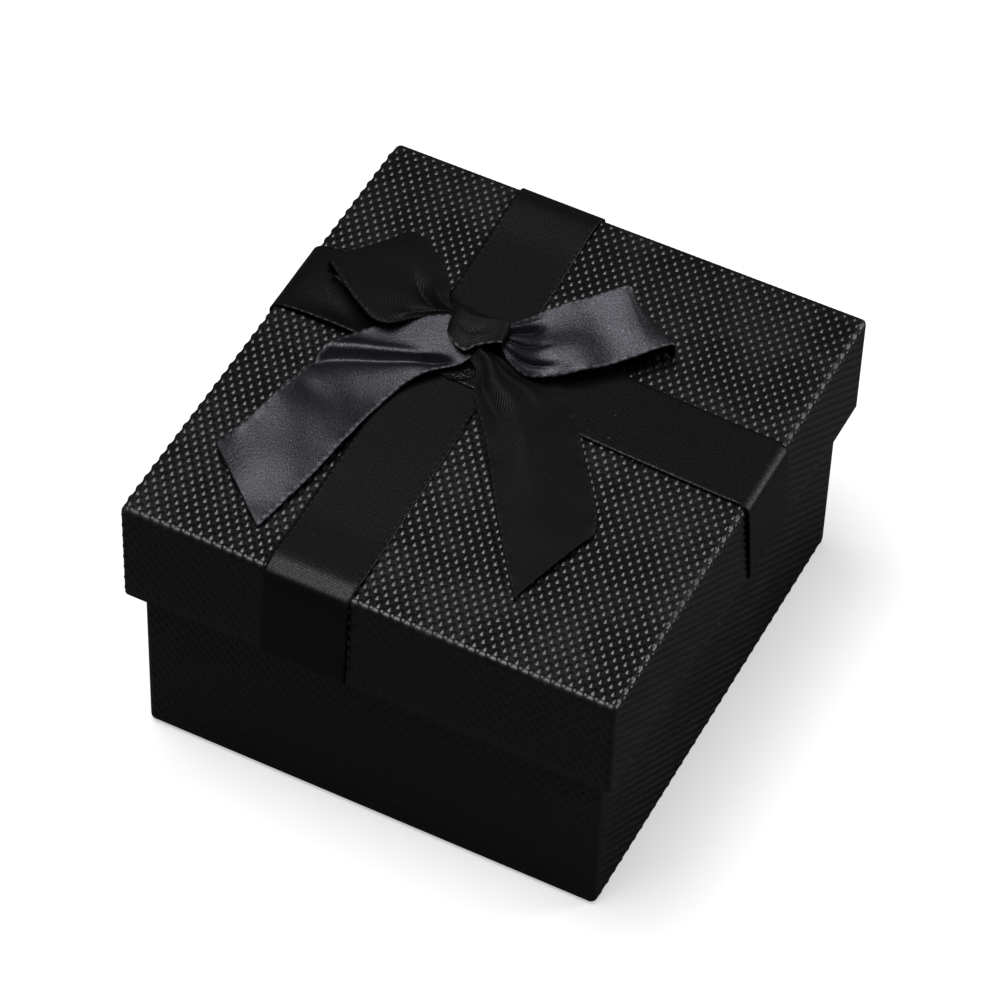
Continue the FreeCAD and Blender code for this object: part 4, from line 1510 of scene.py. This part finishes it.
@dataclass
class Bow:
    """The bow: two loops, two tails and the knot; sizes in millimetres, places from the knot."""

    across: float = -10.2
    along: float = 8.6
    top: float = LID_TOP
    ribbon: float = RIBBON_WIDTH
    fold_bulge: float = 0.35

    def placed(self, points: Edge) -> Edge:
        """Points in the box's own frame."""
        return [(self.across + x, self.along + y, self.top + z) for x, y, z in points]

    def loop_edge(self, over: Edge, under: Edge) -> Edge:
        """One edge of a loop: out over the top, round the fold, and back underneath.

        Args:
            over: the upper edge, from the knot to the fold.
            under: the lower edge, from the fold back to the knot.

        Returns:
            The whole edge, in the box's frame.
        """
        tip, before, low = Vector(over[-1]), Vector(over[-2]), Vector(under[0])
        out = (tip - before).to_2d().normalized()
        radius = (tip.z - low.z) / 2
        fold: Edge = []
        bulge = radius * self.fold_bulge
        for turn in (40, 90, 140):
            angle = math.radians(turn)
            reach = bulge * math.sin(angle) - bulge
            height = low.z + radius + radius * math.cos(angle)
            fold.append((tip.x + out.x * reach, tip.y + out.y * reach, height))
        turn_start = (tip.x - out.x * bulge, tip.y - out.y * bulge, tip.z)
        return self.placed(over[:-1] + [turn_start] + fold + under)

    def strip(
        self,
        name: str,
        edges: list[Edge],
        length: float,
        held: str,
        sides: tuple[Finish, Finish],
        **looks: object,
    ) -> None:
        """Makes one length of the bow's ribbon.

        Args:
            name: which length it is.
            edges: its two edges, in the box's frame.
            length: how long it is when it lies flat; not used.
            held: how it is held; not used.
            sides: the finishes of its face and its back.
            looks: the ribbon's other fields, where they differ from the bow's usual ones.
        """
        usual: dict[str, object] = {
            "rests_on": ["lid_wrap"],
            "wave_length": 6.0,
            "step_along": 0.36,
            "step_across": 0.36,
        }
        Ribbon(
            name=f"satin_{name}",
            node=f"bow_{name}",
            edge_a=edges[0],
            edge_b=edges[1],
            flat=(self.ribbon * MM, length * MM),
            held=held,
            face=sides[0],
            back=sides[1],
            **(usual | looks),
        ).build()

    def loop(
        self,
        name: str,
        far: LoopEdge,
        near: LoopEdge,
        pleats: list[Pleat],
        length: float,
        turned: bool,
        seed: float,
        sides: tuple[Finish, Finish],
    ) -> None:
        """Makes one loop.

        Args:
            name: which loop it is.
            far: the far edge, over and under.
            near: the near edge, over and under.
            pleats: its pleats.
            length: the ribbon that the loop takes.
            turned: whether the far edge lies on the ribbon's right.
            seed: the seed of its unevenness.
            sides: the finishes of its outside and its inside.
        """
        edges = [self.loop_edge(*far), self.loop_edge(*near)]
        if turned:
            edges.reverse()
        looks = {"wave": 0.35, "edge_wave": 0.25}
        self.strip(name, edges, length, "folded", sides, pleats=pleats, seed=seed, **looks)

    def left_loop(self) -> None:
        """The left loop: its near edge stands high and its face leans back."""
        over_far = [(-1.2, 2.6, 4.2), (-5.8, 4.6, 4.5), (-8.5, 9.5, 4.5), (-13.2, 14.0, 4.2)]
        over_far += [(-16.7, 16.3, 4.0), (-20.0, 16.9, 3.7)]
        under_far = [(-18.5, 15.6, 1.0), (-12.0, 11.5, 1.1), (-6.0, 5.8, 1.2), (-1.5, 2.6, 1.6)]
        over_near = [(-1.2, 1.0, 4.4), (-4.7, 2.2, 4.8), (-9.4, -1.3, 5.0), (-12.0, -4.3, 5.2)]
        over_near += [(-14.6, -4.9, 5.6), (-17.3, -3.9, 6.0), (-22.1, -1.0, 6.3), (-27.4, 3.0, 6.4)]
        under_near = [(-25.8, 3.4, 2.0), (-20.5, 0.6, 2.0), (-16.6, -1.0, 2.0), (-6.8, 0.0, 2.0)]
        under_near += [(-1.5, 1.2, 1.8)]
        pleats = [
            Pleat(-1.3, 0.06, 0.52, 0.3, 0.02, 0.36, 0.4, 1.4),
            Pleat(0.8, 0.08, 0.34, 0.22, 0.02, 0.26, 0.3, 1.6),
            Pleat(-0.9, 0.05, 0.72, 0.66, 0.02, 0.24, 0.3, 1.4),
            Pleat(0.8, 0.07, 0.86, 0.8, 0.02, 0.26, 0.3, 1.6),
        ]
        far, near = (over_far, under_far), (over_near, under_near)
        self.loop("left_loop", far, near, pleats, length=52.0, turned=False, seed=1.0, sides=DULL_OUT)

    def right_loop(self) -> None:
        """The right loop: a broad bright face with a crisp fold at its end, rolled under by the knot."""
        over_far = [(1.6, 2.9, 2.8), (4.0, 6.1, 3.4), (7.5, 8.2, 5.2), (9.7, 10.2, 6.4), (13.8, 14.2, 7.2)]
        over_far += [(19.7, 19.3, 8.3)]
        under_far = [(17.0, 19.6, 1.1), (10.0, 12.0, 0.9), (4.5, 5.5, 1.1), (1.5, 2.6, 1.6)]
        over_near = [(1.6, 1.4, 2.6), (3.8, 2.2, 2.6), (6.9, 0.4, 1.5), (10.9, -1.4, 1.6)]
        over_near += [(14.3, -1.1, 2.6), (19.6, 2.7, 3.4), (24.4, 7.6, 4.1), (30.0, 13.9, 4.8)]
        under_near = [(27.6, 14.6, 0.9), (19.0, 5.4, 0.9), (12.5, 1.2, 0.9), (6.5, 1.4, 1.0)]
        under_near += [(1.5, 1.4, 1.7)]
        pleats = [
            Pleat(1.5, 0.3, 0.4, 0.14, 0.03, 0.38, 0.5, 2.2),
            Pleat(-0.9, 0.05, 0.74, 0.74, 0.04, 0.2, 0.35, 1.4),
            Pleat(0.5, 0.06, 0.88, 0.86, 0.04, 0.2, 0.35, 1.5),
            Pleat(-0.8, 0.04, 0.3, 0.1, 0.04, 0.24, 0.35, 1.4),
            Pleat(-0.8, 0.04, 0.54, 0.42, 0.04, 0.22, 0.35, 1.4),
        ]
        far, near = (over_far, under_far), (over_near, under_near)
        self.loop("right_loop", far, near, pleats, length=54.0, turned=True, seed=2.0, sides=SHINY_OUT)

    def tail(
        self,
        name: str,
        left: Edge,
        right: Edge,
        pleats: list[Pleat],
        length: float,
        crown: float,
        seed: float,
        sides: tuple[Finish, Finish],
    ) -> None:
        """Makes one tail.

        Args:
            name: which tail it is.
            left: its left edge.
            right: its right edge, cut off on the slant.
            pleats: its pleats.
            length: the ribbon that the tail takes.
            crown: how far its middle rises.
            seed: the seed of its unevenness.
            sides: the finishes of its upper and its lower side.
        """
        edges = [self.placed(left), self.placed(right)]
        looks = {"crown": crown, "wave": 0.22, "wave_length": 8.0, "edge_wave": 0.3}
        self.strip(name, edges, length, "laid", sides, pleats=pleats, seed=seed, **looks)

    def left_tail(self) -> None:
        """The left tail: an upper pleat by the knot, a valley, and a broad face below its ridge."""
        outer = [(-1.5, 2.4, 4.6), (-4.6, 1.9, 5.2), (-7.2, 0.6, 4.9), (-11.4, -1.5, 3.7)]
        outer += [(-14.7, -4.2, 3.1), (-17.6, -7.4, 2.8), (-19.5, -10.8, 2.7), (-20.1, -13.4, 2.8)]
        outer += [(-20.0, -15.9, 3.0), (-20.9, -24.3, 4.8), (-23.0, -32.2, 3.5), (-25.6, -37.3, 1.6)]
        inner = [(2.0, -3.0, 3.2), (0.9, -4.7, 2.6), (-1.6, -6.5, 1.8), (-3.8, -9.2, 1.4)]
        inner += [(-5.6, -12.4, 1.1), (-7.1, -18.5, 1.1), (-7.9, -26.7, 1.9), (-9.3, -37.1, 1.5)]
        inner += [(-11.7, -48.8, 0.8)]
        pleats = [
            Pleat(0.9, 0.11, 0.8, -0.33, 0.12, 0.62, 0.2, 2.0),
            Pleat(-2.0, 0.08, 0.96, -0.17, 0.05, 0.62, 0.16, 2.0),
            Pleat(0.8, 0.22, 1.2, 0.07, 0.05, 0.64, 0.16, 2.0),
            Pleat(0.3, 0.32, 0.6, 0.6, 0.42, 0.72, 0.4, 2.0),
        ]
        self.tail("left_tail", outer, inner, pleats, length=54.0, crown=0.3, seed=3.0, sides=SHINY_OUT)

    def right_tail(self) -> None:
        """The right tail: it leaves under the right loop and lies flat but for a soft ridge."""
        outer = [(0.6, -2.8, 3.0), (3.4, -4.3, 2.3), (5.2, -8.5, 1.6), (10.9, -15.8, 1.1)]
        outer += [(20.1, -29.7, 0.9), (29.8, -43.1, 0.8)]
        inner = [(3.0, 0.6, 2.4), (9.1, -0.3, 1.0), (16.0, 0.2, 0.8), (21.8, -5.4, 0.9), (24.3, -8.7, 0.9)]
        inner += [(33.3, -21.1, 0.9), (35.0, -25.2, 0.8)]
        pleats = [
            Pleat(1.2, 0.16, 0.42, 0.4, 0.0, 0.75, 0.5, 1.8),
            Pleat(-0.5, 0.08, 0.2, 0.18, 0.02, 0.35, 0.3, 1.6),
            Pleat(0.5, 0.07, 0.7, 0.66, 0.02, 0.4, 0.3, 1.6),
        ]
        self.tail("right_tail", outer, inner, pleats, length=48.0, crown=0.5, seed=4.0, sides=DULL_OUT)

    def knot(self) -> None:
        """The knot: the ribbon gathered and wound once over the middle, one woven edge in front."""
        near = [(-2.2, 1.0, 1.6), (-3.6, -0.4, 3.0), (-3.1, -1.5, 4.8), (-1.2, -3.2, 5.0), (1.0, -3.6, 4.6)]
        near += [(2.2, -2.2, 5.1), (4.0, -0.5, 5.0), (5.1, 0.7, 4.6), (4.6, 1.2, 2.6), (2.6, 1.2, 1.6)]
        far = [(-2.6, 3.0, 1.8), (-4.8, 4.2, 4.0), (-4.1, 3.7, 6.0), (-1.2, 2.9, 6.3), (1.6, 3.4, 6.3)]
        far += [(4.3, 4.6, 5.8), (4.8, 5.2, 4.2), (3.8, 4.6, 2.8), (2.6, 3.6, 1.8)]
        self.strip(
            "knot",
            [self.placed(near), self.placed(far)],
            15.5,
            "gathered",
            # The knot's face has a strong painted glint along its selvage.
            (SATIN_KNOT, SATIN_BACK),
            rests_on=["satin_left_loop", "satin_right_loop"],
            pleats=[Pleat(-0.25, 0.04, 0.3, 0.26, 0.25, 0.75, 0.3, 1.6)],
            crown=0.15,
            tuck=0.48,
            tuck_gap=0.55,
            wave=0.08,
            wave_length=3.0,
            edge_wave=0.5,
            step_along=0.3,
            step_across=0.3,
            seed=6.0,
        )

    def build(self) -> None:
        """Makes the bow from its parts."""
        self.left_loop()
        self.right_loop()
        self.left_tail()
        self.right_tail()
        self.knot()


# ------------------------------------------------------------------------------------ the studio


@dataclass
class Studio:
    """The floor, the lights and the camera.

    The camera's place and aim are in millimetres and its roll in degrees; the rest is in metres.
    """

    floor_size: float = 6.0
    surround: Colour = (0.02, 0.02, 0.022)
    lens: float = 176.97
    sensor: float = 36.0
    roll: float = 2.24
    camera_place: Place = (226.57, -477.44, 625.33)
    camera_aim: Place = (-0.42, 1.74, 30.0)
    light_aim: Place = (0.0, 0.0, 0.04)

    def floor(self) -> None:
        """A wide pale floor."""
        shape = bmesh.new()
        bmesh.ops.create_grid(shape, x_segments=8, y_segments=8, size=self.floor_size / 2)
        mesh = bpy.data.meshes.new("floor")
        shape.to_mesh(mesh)
        shape.free()
        floor = new_piece("floor", mesh, FLOOR)

    def world(self) -> None:
        """A dim, even surround that looks pale behind the floor."""
        world = bpy.data.worlds.new("Surround")
        bpy.context.scene.world = world
        world.use_nodes = True
        w = Wiring(world.node_tree)
        seen = w.node("ShaderNodeLightPath").outputs["Is Camera Ray"]
        tint = w.blend(seen, (*self.surround, 1.0), WHITE)
        w.feed(world.node_tree.nodes["Background"].inputs["Color"], tint)

    def softbox(self, name: str, place: Place, size: tuple[float, float], power: float) -> None:
        """Adds one rectangular softbox.

        Args:
            name: its name.
            place: where it hangs, in metres.
            size: its width and height, in metres.
            power: its power, in watts.
        """
        lamp = bpy.data.lights.new(name, "AREA")
        lamp.shape = "RECTANGLE"
        lamp.size, lamp.size_y = size
        lamp.energy = power
        light = bpy.data.objects.new(name, lamp)
        light.location = place
        light.rotation_euler = (Vector(self.light_aim) - Vector(place)).to_track_quat("-Z", "Y").to_euler()
        bpy.context.scene.collection.objects.link(light)

    def camera(self) -> None:
        """The camera, high over the front right corner and turned a little on its axis."""
        data = bpy.data.cameras.new("camera")
        data.lens = self.lens
        data.sensor_width = self.sensor
        data.clip_end = 20.0
        camera = bpy.data.objects.new("camera", data)
        place = Vector(self.camera_place) * MM
        aim = Vector(self.camera_aim) * MM
        look = (aim - place).to_track_quat("-Z", "Y").to_matrix().to_4x4()
        roll = Matrix.Rotation(math.radians(self.roll), 4, "Z")
        camera.matrix_world = Matrix.Translation(place) @ look @ roll
        bpy.context.scene.collection.objects.link(camera)
        bpy.context.scene.camera = camera

    def build(self) -> None:
        """Sets up the whole studio."""
        self.floor()
        self.world()
        self.softbox("key", (-0.17, -0.1, 1.1), (0.75, 0.55), 9.0)
        self.softbox("rim", (1.0, 0.8, 0.42), (0.5, 0.4), 6.0)
        self.camera()
        bpy.context.scene.view_settings.view_transform = "Standard"


def main() -> None:
    """Builds the gift box in the order that it is made, and then its studio."""
    logging.basicConfig(level=logging.INFO, format="%(message)s")
    Tray().build()
    Pillow().build()
    Lid().build()
    Band(
        "lengthwise_band",
        "lengthwise_ribbon",
        Way.LENGTHWISE,
        half=LID_DEPTH / 2,
        starts=-9.8,
        ends=-12.2,
        foot_start=-10.6,
        foot_end=-12.2,
    ).build()
    Band(
        "crosswise_band",
        "crosswise_ribbon",
        Way.CROSSWISE,
        half=LID_WIDTH / 2,
        starts=10.8,
        ends=7.2,
        foot_start=10.8,
        foot_end=10.6,
        lift=0.5,
        bridge=0.3,
        swell=0.1,
        pleats=[
            Pleat(0.9, 0.12, 0.0, 0.0, 0.19, 0.43, 0.45, 1.8),
            Pleat(1.6, 0.75, 1.0, 1.0, 0.18, 0.43, 0.45, 2.0),
        ],
    ).build()
    Bow().build()
    Studio().build()


if __name__ == "__main__":
    main()
